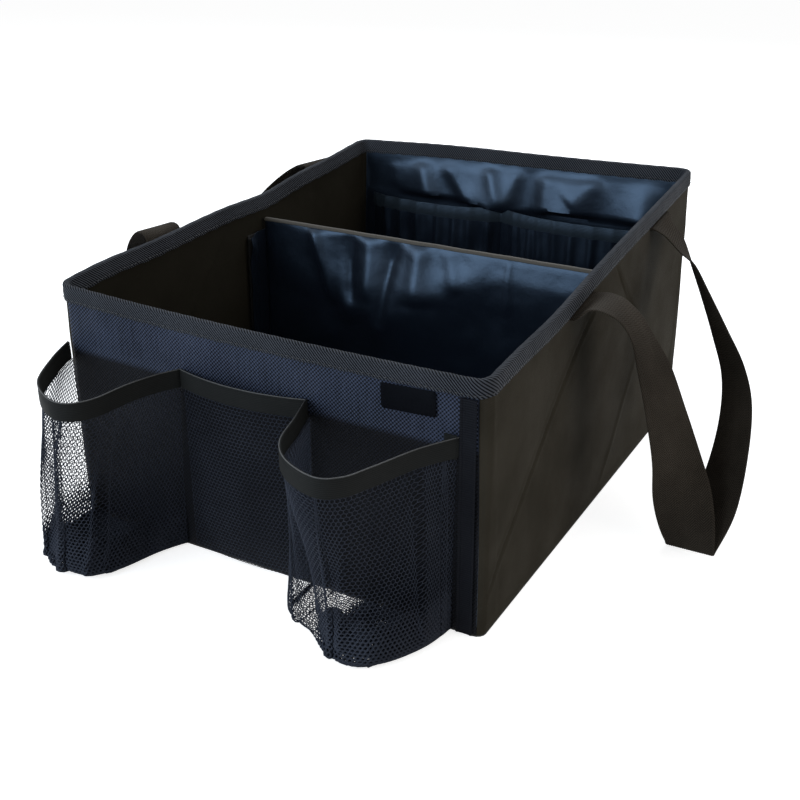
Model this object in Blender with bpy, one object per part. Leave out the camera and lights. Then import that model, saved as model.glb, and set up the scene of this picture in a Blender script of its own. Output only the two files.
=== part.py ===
"""Open-topped fabric organizer for a car seat.

A sewn box with stiffening boards in its front, rear and floor, soft side walls that are creased to fold flat,
a divider held by hook-and-loop flaps, a gathered inner pocket, three net pockets on the front and a webbing
handle on each side. Metres, +Z up, +X right, front face towards -Y, origin under the middle of the base.
"""

import math

import bmesh
import bpy
from mathutils import Matrix, Vector

# Box, measured over the outer cloth
WIDTH = 0.300
DEPTH = 0.380
RIM_FRONT_LEFT = 0.166
RIM_FRONT_RIGHT = 0.163
RIM_REAR_LEFT = 0.194
RIM_REAR_RIGHT = 0.2015
FRONT_RIM_SAG = 0.0025
CORNER_RADIUS = 0.006
RIM_CORNER_RADIUS = 0.0095

# Cloth, board and clearance thicknesses
OUTER_CLOTH = 0.0010
BOARD = 0.0018
LINING_CLOTH = 0.0008
GAP = 0.0003
BASE_BOARD = 0.0022

# How the soft box stands: its right wall's foot spreads outward, and its front left rim leans outward
RIGHT_FOOT_FRONT = 0.0027
RIGHT_FOOT_REAR = 0.0050
FRONT_LEFT_LEAN = 0.0030
STANCE_REACH = 0.030

# Dips in the rims of the sides and the rear: distance from the middle, depth, spread; a rise is negative
SIDE_RIM_DIPS = {
    1: ((-0.085, 0.0060, 0.050),),
    -1: ((0.036, 0.0045, 0.045), (0.125, 0.0018, 0.040), (-0.150, -0.0018, 0.035)),
}
REAR_RIM_DIP = (-0.055, -0.0015, 0.070)

# Side walls: an inward bow, and the two folding creases
BOW_Y = -0.085
BOW_DEPTH = {1: 0.0025, -1: 0.0015}
BOW_SPREAD = 0.050
CREASE_START = 0.018
CREASE_DEPTH = 0.0016
CREASE_SPREAD = 0.010
CREASE_FADE_START = 0.034
CREASE_FADE_END = 0.060
RELIEF_START = 0.030

# Where the outer panels are seamed to each other, and the lining panels
PANEL_SEAM_TURN = 0.5
LINING_SEAM_TURN = 0.5
SEAM_GAP_TURN = 0.05
LINING_SHOULDER = 0.001
BOARD_SIDE_MARGIN = 0.0150
BOARD_RIM_DROP = 0.0140

# Rim binding, a ribbon folded over the top edge
BINDING_HEIGHT = 0.0110
BINDING_CLOTH = 0.0008
PANEL_RIM_DROP = 0.0013
BINDING_SHOULDER = 0.0012
BINDING_ROOF = 0.0009
BINDING_SLACK = 0.0002

# Net pockets on the front: margins to the box's sides, and each bottle pocket's width along the panel
NET_LEFT_MARGIN = 0.004
NET_RIGHT_MARGIN = 0.016
LEFT_BOTTLE_WIDTH = 0.090
RIGHT_BOTTLE_WIDTH = 0.098
FLAT_POCKET_REACH = 0.0075
NET_BAND_TOP = 0.128
NET_BAND_HEIGHT = 0.012
NET_BAND_CLOTH = 0.0014
BAND_STEPS = 24
NET_THREAD = 0.0015
NET_STAND_OFF = GAP + 0.75 * NET_THREAD
NET_TOP = NET_BAND_TOP - NET_BAND_HEIGHT - GAP - NET_THREAD / 2
# Plan of each bottle pocket at its band and at its floor: share of the way between seams, reach off the panel
LEFT_BAND_PLAN = (
    (0.00, 0.000),
    (0.12, 0.025),
    (0.32, 0.056),
    (0.56, 0.0715),
    (0.73, 0.073),
    (0.83, 0.060),
    (0.86, 0.036),
    (0.92, 0.015),
    (1.00, 0.000),
)
LEFT_FLOOR_PLAN = (
    (0.02, 0.000),
    (0.05, 0.031),
    (0.14, 0.047),
    (0.31, 0.058),
    (0.49, 0.063),
    (0.65, 0.060),
    (0.76, 0.048),
    (0.85, 0.021),
    (0.95, 0.000),
)
RIGHT_BAND_PLAN = (
    (0.00, 0.000),
    (0.08, 0.023),
    (0.17, 0.051),
    (0.32, 0.068),
    (0.55, 0.077),
    (0.68, 0.070),
    (0.76, 0.052),
    (0.87, 0.023),
    (1.00, 0.000),
)
RIGHT_FLOOR_PLAN = (
    (0.00, 0.000),
    (0.02, 0.029),
    (0.18, 0.040),
    (0.34, 0.045),
    (0.50, 0.053),
    (0.66, 0.055),
    (0.80, 0.048),
    (0.93, 0.025),
    (0.98, 0.000),
)
# Net profiles, top to bottom: share of the way from band plan to floor plan, share of the reach, height
BOTTLE_PROFILE = (
    (0.00, 1.00, NET_TOP),
    (0.30, 1.03, 0.092),
    (0.65, 1.03, 0.060),
    (0.90, 1.05, 0.026),
    (1.00, 1.08, 0.0100),
    (1.00, 1.00, 0.0030),
    (1.00, 0.50, 0.0018),
    (1.00, 0.02, 0.0018),
)
FLAT_PROFILE = ((0.00, 1.00, NET_TOP), (0.00, 0.90, 0.080), (0.00, 0.70, 0.030), (0.00, 0.50, 0.0030))
FLAT_STEPS = 6
NET_SIDE_GAP = 0.0014
# Clearances of the band and of the corner tape from the nets beside them
BAND_STAND_OFF = 0.0004
EDGE_TAPE_GAP = 0.0007
EDGE_TAPE_WIDTH = 0.0093
EDGE_TAPE_CLOTH = 0.0008

# Divider: its cover hangs slack in front, held at its top, foot and sides
DIVIDER_Y = 0.026
DIVIDER_TOP = 0.1605
DIVIDER_SIDE_CLEARANCE = 0.0036
DIVIDER_BOARD = 0.0012
DIVIDER_BOARD_MARGIN = 0.002
DIVIDER_TOP_BEVEL = 0.001
DIVIDER_BELLY = 0.0060
# Where the belly begins and is full, from left to right, and how far below the top it is full and flat again
BELLY_SIDE = (-0.095, -0.035)
BELLY_FULL = 0.034
BELLY_FLAT = 0.120
FOLD_END = 0.012
# Folds of the cover: upper and lower end as (x, z), width, depth
DIVIDER_FOLDS = (
    ((-0.098, 0.156), (-0.060, 0.095), 0.0100, 0.0035),
    ((-0.024, 0.160), (-0.033, 0.095), 0.0060, -0.0040),
    ((-0.004, 0.158), (-0.002, 0.118), 0.0110, 0.0045),
)
DIVIDER_FOLD_COLUMNS = 17
DIVIDER_FOLD_ROWS = (0.035, 0.075, 0.100, 0.118, 0.132, 0.146, 0.154)
FLAP_REACH = 0.026
FLAP_BOTTOM = 0.020
FLAP_TOP = 0.152
FLAP_CLOTH = 0.0008
HOOK_TAPE = 0.0008
HOOK_TAPE_WIDTH = 0.018
HOOK_TAPE_SETBACK = 0.003
HOOK_TAPE_MARGIN = 0.004
LOOP_TAPE_MARGIN = 0.002

# Inner pocket on the rear wall
POCKET_TOP = 0.150
POCKET_SIDE_MARGIN = 0.0165
POCKET_SEAM_X = -0.007
POCKET_BULGE = 0.013
POCKET_ROUNDNESS = 0.7
POCKET_BULGE_RISE = 1.5
POCKET_BAND_HEIGHT = 0.012
POCKET_BAND_CLOTH = 0.0012
POCKET_BAND_PULL = 0.85
GATHERS = 7
GATHER_DEPTH = 0.0022
GATHER_RISE = 1.3

# Webbing handles: width, thickness, the tail sewn inside the wall, and where the two ends leave each wall
STRAP_WIDTH = 0.038
STRAP = 0.0014
STRAP_TAIL = 0.028
STRAP_EXIT_DROP = 0.0132
STRAP_LIP = 0.003
SLOT_CUT_REACH = 0.004
STRAP_ENDS_Y = {1: (-0.047, 0.107), -1: (-0.083, 0.132)}
# The left handle stands up in an arch at its front and its rear end before it falls
STRAP_LIFT = {1: (0.0, 0.0), -1: (0.0115, 0.0210)}
ARCH_REACH = 0.017
ARCH_SPREAD = 0.026
ARCH_FLOOR = 0.75
# Hanging handle, front end to rear end: out from the wall, share of the way from front to rear end, height as
# a share of the slots' height, and the turn and tilt of the webbing's width in degrees
STRAP_ROUTE = (
    (0.0097, 0.019, 1.017, 3, 0),
    (0.0194, 0.024, 1.006, 4, -5),
    (0.0301, 0.030, 0.961, 5, -11),
    (0.0386, 0.045, 0.880, 8, -14),
    (0.0467, 0.061, 0.761, 18, -10),
    (0.0574, 0.066, 0.576, 25, -4),
    (0.0681, 0.071, 0.372, 42, -2),
    (0.0765, 0.047, 0.190, 80, 8),
    (0.0830, 0.024, 0.056, 108, 12),
    (0.0845, 0.045, 0.046, 111, 14),
    (0.0903, 0.190, 0.150, 114, 20),
    (0.0904, 0.378, 0.304, 123, 28),
    (0.0864, 0.536, 0.447, 132, 32),
    (0.0775, 0.651, 0.560, 144, 31),
    (0.0630, 0.742, 0.667, 153, 28),
    (0.0467, 0.828, 0.782, 162, 27),
    (0.0329, 0.908, 0.867, 165, 19),
    (0.0199, 0.984, 0.918, 168, 1),
    (0.0087, 1.004, 0.968, 171, -1),
)

# Woven label on the front panel, bare
LABEL_SIDE_MARGIN = 0.0477
LABEL_Z = 0.1425
LABEL_WIDTH = 0.034
LABEL_HEIGHT = 0.015
LABEL_TILT = 2.5
LABEL_CLOTH = 0.0006

HALF_W = WIDTH / 2
HALF_D = DEPTH / 2
WALL_BOTTOM = OUTER_CLOTH + GAP
CORE_INSET = OUTER_CLOTH + GAP
LINING_INSET = CORE_INSET + BOARD + GAP
LINING_BOTTOM = WALL_BOTTOM + BASE_BOARD + GAP
INNER_INSET = LINING_INSET + LINING_CLOTH
FLOOR_TOP = LINING_BOTTOM + LINING_CLOTH
POCKET_HALF_WIDTH = HALF_W - POCKET_SIDE_MARGIN
DIVIDER_HALF_WIDTH = HALF_W - INNER_INSET - DIVIDER_SIDE_CLEARANCE
NET_SEAMS = (
    NET_LEFT_MARGIN - HALF_W,
    NET_LEFT_MARGIN - HALF_W + LEFT_BOTTLE_WIDTH,
    HALF_W - NET_RIGHT_MARGIN - RIGHT_BOTTLE_WIDTH,
    HALF_W - NET_RIGHT_MARGIN,
)
# Share of a side's q that its rounded corner takes, and how many steps go round the whole corner
CORNER_TURN = 0.064
CORNER_STEPS = 4


def smooth(t):
    t = max(0.0, min(1.0, t))
    return t * t * (3 - 2 * t)


def bump(distance, spread):
    return math.exp(-((distance / spread) ** 2))


def spline(values, t):
    """Catmull-Rom through a list of vectors, t counted in its places."""
    k = min(int(t), len(values) - 2)
    u = t - k
    p0, p1, p2, p3 = (values[max(0, min(len(values) - 1, k + n))] for n in (-1, 0, 1, 2))
    square = 2 * p0 - 5 * p1 + 4 * p2 - p3
    cube = 3 * p1 - p0 - 3 * p2 + p3
    return 0.5 * (2 * p1 + (p2 - p0) * u + square * u**2 + cube * u**3)


def fold(u, v, start, end, width, height):
    """Height of a soft ridge between two places on a cloth, fading towards its ends."""
    du, dv = end[0] - start[0], end[1] - start[1]
    length = math.hypot(du, dv)
    along = ((u - start[0]) * du + (v - start[1]) * dv) / length**2
    across = abs((u - start[0]) * dv - (v - start[1]) * du) / length
    beyond = max(0.0, -along, along - 1) * length
    return height * bump(across, width) * bump(beyond, width)


# Shape of the box

def rim_height(x, y):
    """Height of the rim's top edge: four corner heights, a sag along the front, dips elsewhere."""
    across = 0.5 + x / WIDTH
    back = 0.5 + y / DEPTH
    front = RIM_FRONT_LEFT + (RIM_FRONT_RIGHT - RIM_FRONT_LEFT) * across
    rear = RIM_REAR_LEFT + (RIM_REAR_RIGHT - RIM_REAR_LEFT) * across
    height = front + (rear - front) * back
    sag = FRONT_RIM_SAG * max(0.0, 1 - (x / HALF_W) ** 2) * smooth(-2 * y / DEPTH)
    dips = SIDE_RIM_DIPS[1 if x > 0 else -1]
    at_side = smooth(2 * abs(x) / HALF_W - 1)
    side_dip = sum(depth * bump(y - at, spread) for at, depth, spread in dips) * at_side
    at, depth, spread = REAR_RIM_DIP
    rear_dip = depth * bump(x - at, spread) * smooth(2 * y / HALF_D - 1)
    return height - sag - side_dip - rear_dip


def settled(p):
    """Where a point of the straight box stands in the soft one; handles far from the walls stay."""
    up = max(0.0, min(1.0, p.z / rim_height(p.x, p.y)))
    back = 0.5 + max(-0.5, min(0.5, p.y / DEPTH))
    foot = (RIGHT_FOOT_FRONT + (RIGHT_FOOT_REAR - RIGHT_FOOT_FRONT) * back) * (1 - up) if p.x > 0 else 0.0
    lean = FRONT_LEFT_LEAN * up * smooth(-p.y / HALF_D) if p.x < 0 else 0.0
    across = min(1.0, abs(p.x) / HALF_W) ** 2
    near = smooth((HALF_W + STANCE_REACH - abs(p.x)) / STANCE_REACH)
    return p + Vector(((foot - lean) * across * near, 0, 0))


def side_relief(side, y, z):
    """How far a side wall stands inside its plane, from its bow and its two 45 degree folding creases."""
    up = z / rim_height(side * HALF_W, y)
    bow = BOW_DEPTH[side] * bump(y - BOW_Y, BOW_SPREAD) * up
    front_crease = abs(z - (HALF_D - CREASE_START + y)) / math.sqrt(2)
    rear_crease = abs(z - (HALF_D - CREASE_START - y)) / math.sqrt(2)
    crease = math.exp(-min(front_crease, rear_crease) / CREASE_SPREAD)
    fade = smooth((abs(y) - CREASE_FADE_START) / (CREASE_FADE_END - CREASE_FADE_START))
    ends = smooth((HALF_D - abs(y)) / (3 * RIM_CORNER_RADIUS)) * smooth(z / RELIEF_START)
    return (bow + CREASE_DEPTH * crease * fade) * ends


def half_side(t, half_length, half_other, radius):
    """Along and out from a side's middle to its corner's middle, and the outward normal; t is 0 to 1."""
    straight = half_length - radius
    if t <= 1 - CORNER_TURN:
        return straight * t / (1 - CORNER_TURN), half_other, 0.0, 1.0
    angle = (t - 1 + CORNER_TURN) / CORNER_TURN * math.pi / 4
    sine, cosine = math.sin(angle), math.cos(angle)
    return straight + radius * sine, half_other - radius * (1 - cosine), sine, cosine


def outline(q, radius, inset):
    """Plan point and outward normal. q goes round: 0 front, 2 right, 4 rear, 6 left, odd at corners."""
    q %= 8
    number = round(q / 2) % 4
    offset = (q - 2 * number + 4) % 8 - 4
    sign = 1 if offset >= 0 else -1
    width, depth = HALF_W - inset, HALF_D - inset
    lengths = (width, depth) if number % 2 == 0 else (depth, width)
    along, out, n_along, n_out = half_side(abs(offset), *lengths, max(radius - inset, 0.0005))
    along, n_along = sign * along, sign * n_along
    turned = ((along, -out), (out, along), (-along, out), (-out, -along))[number]
    normal = ((n_along, -n_out), (n_out, n_along), (-n_along, n_out), (-n_out, -n_along))[number]
    return Vector(turned), Vector(normal)


def wall(q, below_rim, inset, height=None):
    """Point on the wall at a drop below the rim, or at a height, that far inside the outer face."""
    flat, normal = outline(q, RIM_CORNER_RADIUS, 0)
    rim = rim_height(flat.x, flat.y)
    z = rim - below_rim if height is None else height
    radius = CORNER_RADIUS + (RIM_CORNER_RADIUS - CORNER_RADIUS) * smooth(z / rim) ** 2
    flat, normal = outline(q, radius, inset)
    number = round((q % 8) / 2) % 4
    if number in (1, 3):
        flat = flat - normal * side_relief(1 if number == 1 else -1, flat.y, z)
    return Vector((flat.x, flat.y, z))


def front_q(x):
    """q of a point on the front's straight length, by its distance from the middle; 4 - q is on the rear."""
    return x / (HALF_W - CORNER_RADIUS) * (1 - CORNER_TURN)


def side_q(side, y):
    t = y / (HALF_D - CORNER_RADIUS) * (1 - CORNER_TURN)
    return 2 + t if side > 0 else 6 - t


def lining_inset(below_rim, face):
    """The lining leans on the outer cloth under the binding; face is 0 on its hidden side, 1 inside."""
    share = smooth((BINDING_HEIGHT - below_rim) / (BINDING_HEIGHT - PANEL_RIM_DROP))
    return LINING_INSET + (CORE_INSET - LINING_INSET) * share + face * LINING_CLOTH


# Mesh helpers

def material(name, colour, roughness, metallic=0.0):
    made = bpy.data.materials.get(name) or bpy.data.materials.new(name)
    made.use_nodes = True
    shader = made.node_tree.nodes["Principled BSDF"]
    shader.inputs["Base Color"].default_value = (*colour, 1)
    shader.inputs["Roughness"].default_value = roughness
    shader.inputs["Metallic"].default_value = metallic
    return made


def make_object(name, bm, finish, smooth_angle=35):
    for v in bm.verts:
        v.co = settled(v.co)
    bmesh.ops.recalc_face_normals(bm, faces=bm.faces)
    mesh = bpy.data.meshes.new(name)
    bm.to_mesh(mesh)
    bm.free()
    mesh.materials.append(finish)
    mesh.shade_smooth()
    mesh.set_sharp_from_angle(angle=math.radians(smooth_angle))
    made = bpy.data.objects.new(name, mesh)
    bpy.context.scene.collection.objects.link(made)
    return made


def shell(name, columns, rows, point, finish):
    """A thick sheet. point(column, row, face) gives its faces 0 and 1 at each column and row."""
    bm = bmesh.new()
    faces = [[[bm.verts.new(point(c, r, face)) for r in rows] for c in columns] for face in (0, 1)]
    last_c, last_r = len(columns) - 1, len(rows) - 1
    for face in (0, 1):
        for i in range(last_c):
            for j in range(last_r):
                grid = faces[face]
                bm.faces.new((grid[i][j], grid[i + 1][j], grid[i + 1][j + 1], grid[i][j + 1]))
    front, back = faces
    for i in range(last_c):
        for j in (0, last_r):
            bm.faces.new((front[i][j], front[i + 1][j], back[i + 1][j], back[i][j]))
    for j in range(last_r):
        for i in (0, last_c):
            bm.faces.new((front[i][j], front[i][j + 1], back[i][j + 1], back[i][j]))
    return make_object(name, bm, finish)


def loft(name, sections, finish, closed=False):
    """A bar through closed profiles of equal count, capped at both ends unless it closes on itself."""
    bm = bmesh.new()
    rings = [[bm.verts.new(p) for p in section] for section in sections]
    count = len(rings[0])
    pairs = zip(rings, rings[1:] + rings[:1]) if closed else zip(rings, rings[1:])
    for a, b in pairs:
        for k in range(count):
            m = (k + 1) % count
            bm.faces.new((a[k], a[m], b[m], b[k]))
    if not closed:
        bm.faces.new(rings[0])
        bm.faces.new(rings[-1])
    return make_object(name, bm, finish)


def slab(name, inset, bottom, top, finish):
    """A flat plate of the box's plan, that far inside its outer face."""
    bm = bmesh.new()
    around = [2 * n + 1 + turn for n in range(4) for turn in steps(-CORNER_TURN, CORNER_TURN, CORNER_STEPS)]
    loop = [bm.verts.new((*outline(q, CORNER_RADIUS, inset)[0], bottom)) for q in around]
    face = bm.faces.new(loop)
    raised = bmesh.ops.extrude_face_region(bm, geom=[face])
    verts = [v for v in raised["geom"] if isinstance(v, bmesh.types.BMVert)]
    bmesh.ops.translate(bm, verts=verts, vec=(0, 0, top - bottom))
    return make_object(name, bm, finish)


def brick(name, low, high, finish):
    bm = bmesh.new()
    bmesh.ops.create_cube(bm, size=1)
    for v in bm.verts:
        v.co = Vector([low[k] if v.co[k] < 0 else high[k] for k in range(3)])
    return make_object(name, bm, finish)


def cut(target, cutter):
    cutter.hide_render = True
    cutter.display_type = "WIRE"
    slot = target.modifiers.new("slot", "BOOLEAN")
    slot.operation = "DIFFERENCE"
    slot.object = cutter


def steps(low, high, count):
    return [low + (high - low) * k / count for k in range(count + 1)]


# Walls, boards and lining

def wall_columns(first, last, straight_steps):
    """q values from first to last, close together round each corner."""
    found = [first, last]
    for corner in (-1, 1, 3, 5, 7):
        found += steps(corner - CORNER_TURN, corner + CORNER_TURN, CORNER_STEPS)
        found += steps(corner + CORNER_TURN, corner + 2 - CORNER_TURN, straight_steps)[1:-1]
    near = CORNER_TURN / (3 * CORNER_STEPS)
    inside = sorted(q for q in found if first + near < q < last - near)
    return [first, *inside, last]


def outer_panel(name, first, last, straight_steps, rows, finish):
    columns = wall_columns(first, last, straight_steps)

    def point(q, share, face):
        top = wall(q, PANEL_RIM_DROP, 0).z
        return wall(q, 0, face * OUTER_CLOTH, WALL_BOTTOM + (top - WALL_BOTTOM) * share)

    return shell(name, columns, steps(0, 1, rows), point, finish)


def lining_panel(name, first, last, straight_steps, rows, finish):
    columns = wall_columns(first, last, straight_steps)
    heights = steps(0, 1, rows - 2) + [None, None]

    def point(q, share, face):
        rim = wall(q, 0, 0).z
        shoulder = rim - BINDING_HEIGHT - LINING_SHOULDER
        drops = {rows - 1: (BINDING_HEIGHT + PANEL_RIM_DROP) / 2, rows: PANEL_RIM_DROP}
        if share in drops:
            z = rim - drops[share]
        else:
            z = LINING_BOTTOM + (shoulder - LINING_BOTTOM) * share / (rows - 2)
        return wall(q, 0, lining_inset(rim - z, face), z)

    return shell(name, columns, list(range(len(heights))), point, finish)


def board(name, middle, finish):
    reach = front_q(HALF_W - BOARD_SIDE_MARGIN)

    def point(q, share, face):
        top = wall(q, BOARD_RIM_DROP, 0).z
        return wall(q, 0, CORE_INSET + face * BOARD, LINING_BOTTOM + (top - LINING_BOTTOM) * share)

    return shell(name, steps(middle - reach, middle + reach, 4), (0, 1), point, finish)


def build_walls(finishes):
    seam = 1 - CORNER_TURN * PANEL_SEAM_TURN
    side = seam + CORNER_TURN * SEAM_GAP_TURN
    lining = 1 - CORNER_TURN * LINING_SEAM_TURN
    lining_side = lining + CORNER_TURN * SEAM_GAP_TURN
    outer_panel("front_panel", -seam, seam, 8, 2, finishes["front"])
    outer_panel("rear_panel", 4 - seam, 4 + seam, 8, 2, finishes["side"])
    right = outer_panel("right_side_panel", side, 4 - side, 16, 8, finishes["side"])
    left = outer_panel("left_side_panel", 4 + side, 8 - side, 16, 8, finishes["side"])
    lining_panel("front_lining", -lining, lining, 6, 4, finishes["lining"])
    lining_panel("rear_lining", 4 - lining, 4 + lining, 6, 4, finishes["lining"])
    lining_panel("right_lining", lining_side, 4 - lining_side, 16, 8, finishes["lining"])
    lining_panel("left_lining", 4 + lining_side, 8 - lining_side, 16, 8, finishes["lining"])
    board("front_board", 0, finishes["board"])
    board("rear_board", 4, finishes["board"])
    slab("base_panel", 0, 0, OUTER_CLOTH, finishes["side"])
    slab("base_board", CORE_INSET, WALL_BOTTOM, WALL_BOTTOM + BASE_BOARD, finishes["board"])
    slab("floor_lining", INNER_INSET + GAP, LINING_BOTTOM, FLOOR_TOP, finishes["lining"])
    return {1: right, -1: left}


def build_binding(finish):
    """A ribbon folded over the rim: its outer leg hangs straight, its inner leg follows the lining."""
    outside = -GAP - BINDING_CLOTH
    top_gap = CORE_INSET + LINING_CLOTH + GAP + BINDING_SLACK
    low_gap = INNER_INSET + GAP
    profile = (
        (outside, BINDING_HEIGHT),
        (outside, BINDING_SHOULDER),
        (-GAP, 0.0),
        (top_gap, 0.0),
        (top_gap + BINDING_CLOTH, BINDING_SHOULDER),
        (low_gap + BINDING_CLOTH, BINDING_HEIGHT),
        (low_gap, BINDING_HEIGHT),
        ((top_gap + low_gap) / 2 + GAP, BINDING_HEIGHT / 2),
        (top_gap, BINDING_ROOF),
        (-GAP, BINDING_ROOF),
        (-GAP, BINDING_HEIGHT),
    )
    around = wall_columns(-0.5, 7.5, 12)[:-1]
    sections = [[wall(q, drop, inset) for inset, drop in profile] for q in around]
    loft("rim_binding", sections, finish, closed=True)


# Net pockets

def plan_point(plan, seams, share):
    """x and reach off the panel of a pocket's plan curve."""
    at = spline([Vector(p) for p in plan], share * (len(plan) - 1))
    return seams[0] + (seams[1] - seams[0]) * at.x, max(at.y, 0.0)


def bottle_plan(seams, band, floor):
    def point(share, down):
        (x0, reach0), (x1, reach1) = plan_point(band, seams, share), plan_point(floor, seams, share)
        return x0 + (x1 - x0) * down, reach0 + (reach1 - reach0) * down

    return point


def flat_plan(share, _down):
    x = NET_SEAMS[1] + (NET_SEAMS[2] - NET_SEAMS[1]) * share
    return x, FLAT_POCKET_REACH * 4 * share * (1 - share)


def front_face_y(x):
    return wall(front_q(x), 0, 0, NET_BAND_TOP).y


def net_band(left, right, finish):
    """One ribbon along the tops of the three net pockets, out round each loop and back at each seam."""
    loops = [left(share, 0) for share in steps(0, 1, BAND_STEPS)]
    loops += [flat_plan(share, 0) for share in steps(0, 1, FLAT_STEPS)][1:-1]
    loops += [right(share, 0) for share in steps(0, 1, BAND_STEPS)]
    middle = GAP + NET_BAND_CLOTH / 2 + BAND_STAND_OFF
    line = [Vector((x, front_face_y(x) - middle - reach)) for x, reach in loops]
    sections = []
    for k, p in enumerate(line):
        before, after = line[max(k - 1, 0)], line[min(k + 1, len(line) - 1)]
        if k in (BAND_STEPS, BAND_STEPS + FLAT_STEPS):
            along = Vector((1.0, 0.0))
        else:
            along = (after - before).normalized()
        out = Vector((along.y, -along.x)) * NET_BAND_CLOTH / 2
        low, high = NET_BAND_TOP - NET_BAND_HEIGHT, NET_BAND_TOP
        sections.append([(*(p + out), low), (*(p + out), high), (*(p - out), high), (*(p - out), low)])
    loft("net_band", sections, finish)


def profile_at(profile, share):
    at = share * (len(profile) - 1)
    k = min(int(at), len(profile) - 2)
    t = at - k
    return [profile[k][n] + (profile[k + 1][n] - profile[k][n]) * t for n in range(3)]


def net(name, plan, profile, across, down, finish):
    """A net of diamond gaps on a pocket's surface: each edge of its diamonds becomes a thread."""
    bm = bmesh.new()
    grid = {}
    for i in range(across + 1):
        for j in range(down + 1):
            if (i + j) % 2 == 0:
                turn, scale, z = profile_at(profile, j / down)
                x, reach = plan(i / across, turn)
                x += NET_SIDE_GAP * (1 - 2 * i / across)
                y = front_face_y(x) - NET_STAND_OFF - reach * scale
                grid[i, j] = bm.verts.new((x, y, z))
    for i in range(across + 1):
        for j in range(down + 1):
            if (i + j) % 2:
                around = [grid.get(k) for k in ((i - 1, j), (i, j - 1), (i + 1, j), (i, j + 1))]
                bm.faces.new([v for v in around if v])
    made = make_object(name, bm, finish)
    threads = made.modifiers.new("threads", "WIREFRAME")
    threads.thickness = NET_THREAD
    threads.use_even_offset = False
    threads.use_boundary = True
    threads.use_replace = True
    return made


def build_nets(finishes):
    left = bottle_plan(NET_SEAMS[:2], LEFT_BAND_PLAN, LEFT_FLOOR_PLAN)
    right = bottle_plan(NET_SEAMS[2:], RIGHT_BAND_PLAN, RIGHT_FLOOR_PLAN)
    net_band(left, right, finishes["band"])
    net("left_bottle_net", left, BOTTLE_PROFILE, 14, 12, finishes["net"])
    net("right_bottle_net", right, BOTTLE_PROFILE, 14, 12, finishes["net"])
    net("flat_pocket_net", flat_plan, FLAT_PROFILE, 10, 10, finishes["net"])
    start = NET_SEAMS[3] + EDGE_TAPE_GAP
    face = -HALF_D - GAP
    top = rim_height(start, -HALF_D) - BINDING_HEIGHT - GAP
    brick(
        "net_edge_tape",
        (start, face - EDGE_TAPE_CLOTH, WALL_BOTTOM),
        (start + EDGE_TAPE_WIDTH, face, top),
        finishes["band"],
    )


# Divider, inner pocket and label

def divider_slack(x, z):
    """How far the divider's front cloth hangs off its board."""
    down = DIVIDER_TOP - z
    start, full = BELLY_SIDE
    belly = DIVIDER_BELLY * smooth((x - start) / (full - start)) * smooth(down / BELLY_FULL)
    lift = belly * smooth((BELLY_FLAT - down) / (BELLY_FLAT - BELLY_FULL))
    lift += sum(fold(x, z, *one) for one in DIVIDER_FOLDS)
    held = smooth((DIVIDER_HALF_WIDTH - abs(x)) / FOLD_END) * smooth(down / FOLD_END)
    return max(0.0, lift) * held


def build_divider(finishes):
    board_face = DIVIDER_BOARD / 2
    sleeve = board_face + GAP
    outside = sleeve + LINING_CLOTH
    bottom = FLOOR_TOP + GAP
    half = DIVIDER_HALF_WIDTH
    brick(
        "divider_board",
        (-half + DIVIDER_BOARD_MARGIN, DIVIDER_Y - board_face, bottom),
        (half - DIVIDER_BOARD_MARGIN, DIVIDER_Y + board_face, DIVIDER_TOP - LINING_CLOTH - GAP),
        finishes["board"],
    )

    def section(x):
        slack = [(divider_slack(x, z), z) for z in DIVIDER_FOLD_ROWS]
        profile = [(-outside, bottom)]
        profile += [(-outside - out, z) for out, z in slack]
        profile += [(-outside, DIVIDER_TOP - DIVIDER_TOP_BEVEL), (DIVIDER_TOP_BEVEL - outside, DIVIDER_TOP)]
        profile += [(outside - DIVIDER_TOP_BEVEL, DIVIDER_TOP), (outside, DIVIDER_TOP - DIVIDER_TOP_BEVEL)]
        profile += [(outside, bottom), (sleeve, bottom)]
        profile += [(sleeve, DIVIDER_TOP - LINING_CLOTH), (-sleeve, DIVIDER_TOP - LINING_CLOTH)]
        profile += [(-sleeve - out, z) for out, z in reversed(slack)]
        profile += [(-sleeve, bottom)]
        return [(x, DIVIDER_Y + y, z) for y, z in profile]

    columns = steps(-half, half, DIVIDER_FOLD_COLUMNS - 1)
    loft("divider_cover", [section(x) for x in columns], finishes["lining"])
    for side, word in ((1, "right"), (-1, "left")):
        flap_in = half + GAP
        hook_in = flap_in + FLAP_CLOTH + GAP
        loop_in = hook_in + HOOK_TAPE + GAP
        rear = DIVIDER_Y + outside
        front = rear - FLAP_REACH
        tape_front = front + HOOK_TAPE_SETBACK
        tape_rear = tape_front + HOOK_TAPE_WIDTH
        cloth, tape = finishes["lining"], finishes["tape"]
        strips = (
            (f"divider_flap_{word}", flap_in, FLAP_CLOTH, front, rear, 0.0, cloth),
            (f"hook_tape_{word}", hook_in, HOOK_TAPE, tape_front, tape_rear, HOOK_TAPE_MARGIN, tape),
            (f"loop_tape_{word}", loop_in, HOOK_TAPE, tape_front, tape_rear, LOOP_TAPE_MARGIN, tape),
        )
        for name, x, thick, y0, y1, margin, finish in strips:
            xs = sorted((side * x, side * (x + thick)))
            brick(name, (xs[0], y0, FLAP_BOTTOM + margin), (xs[1], y1, FLAP_TOP - margin), finish)


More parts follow.
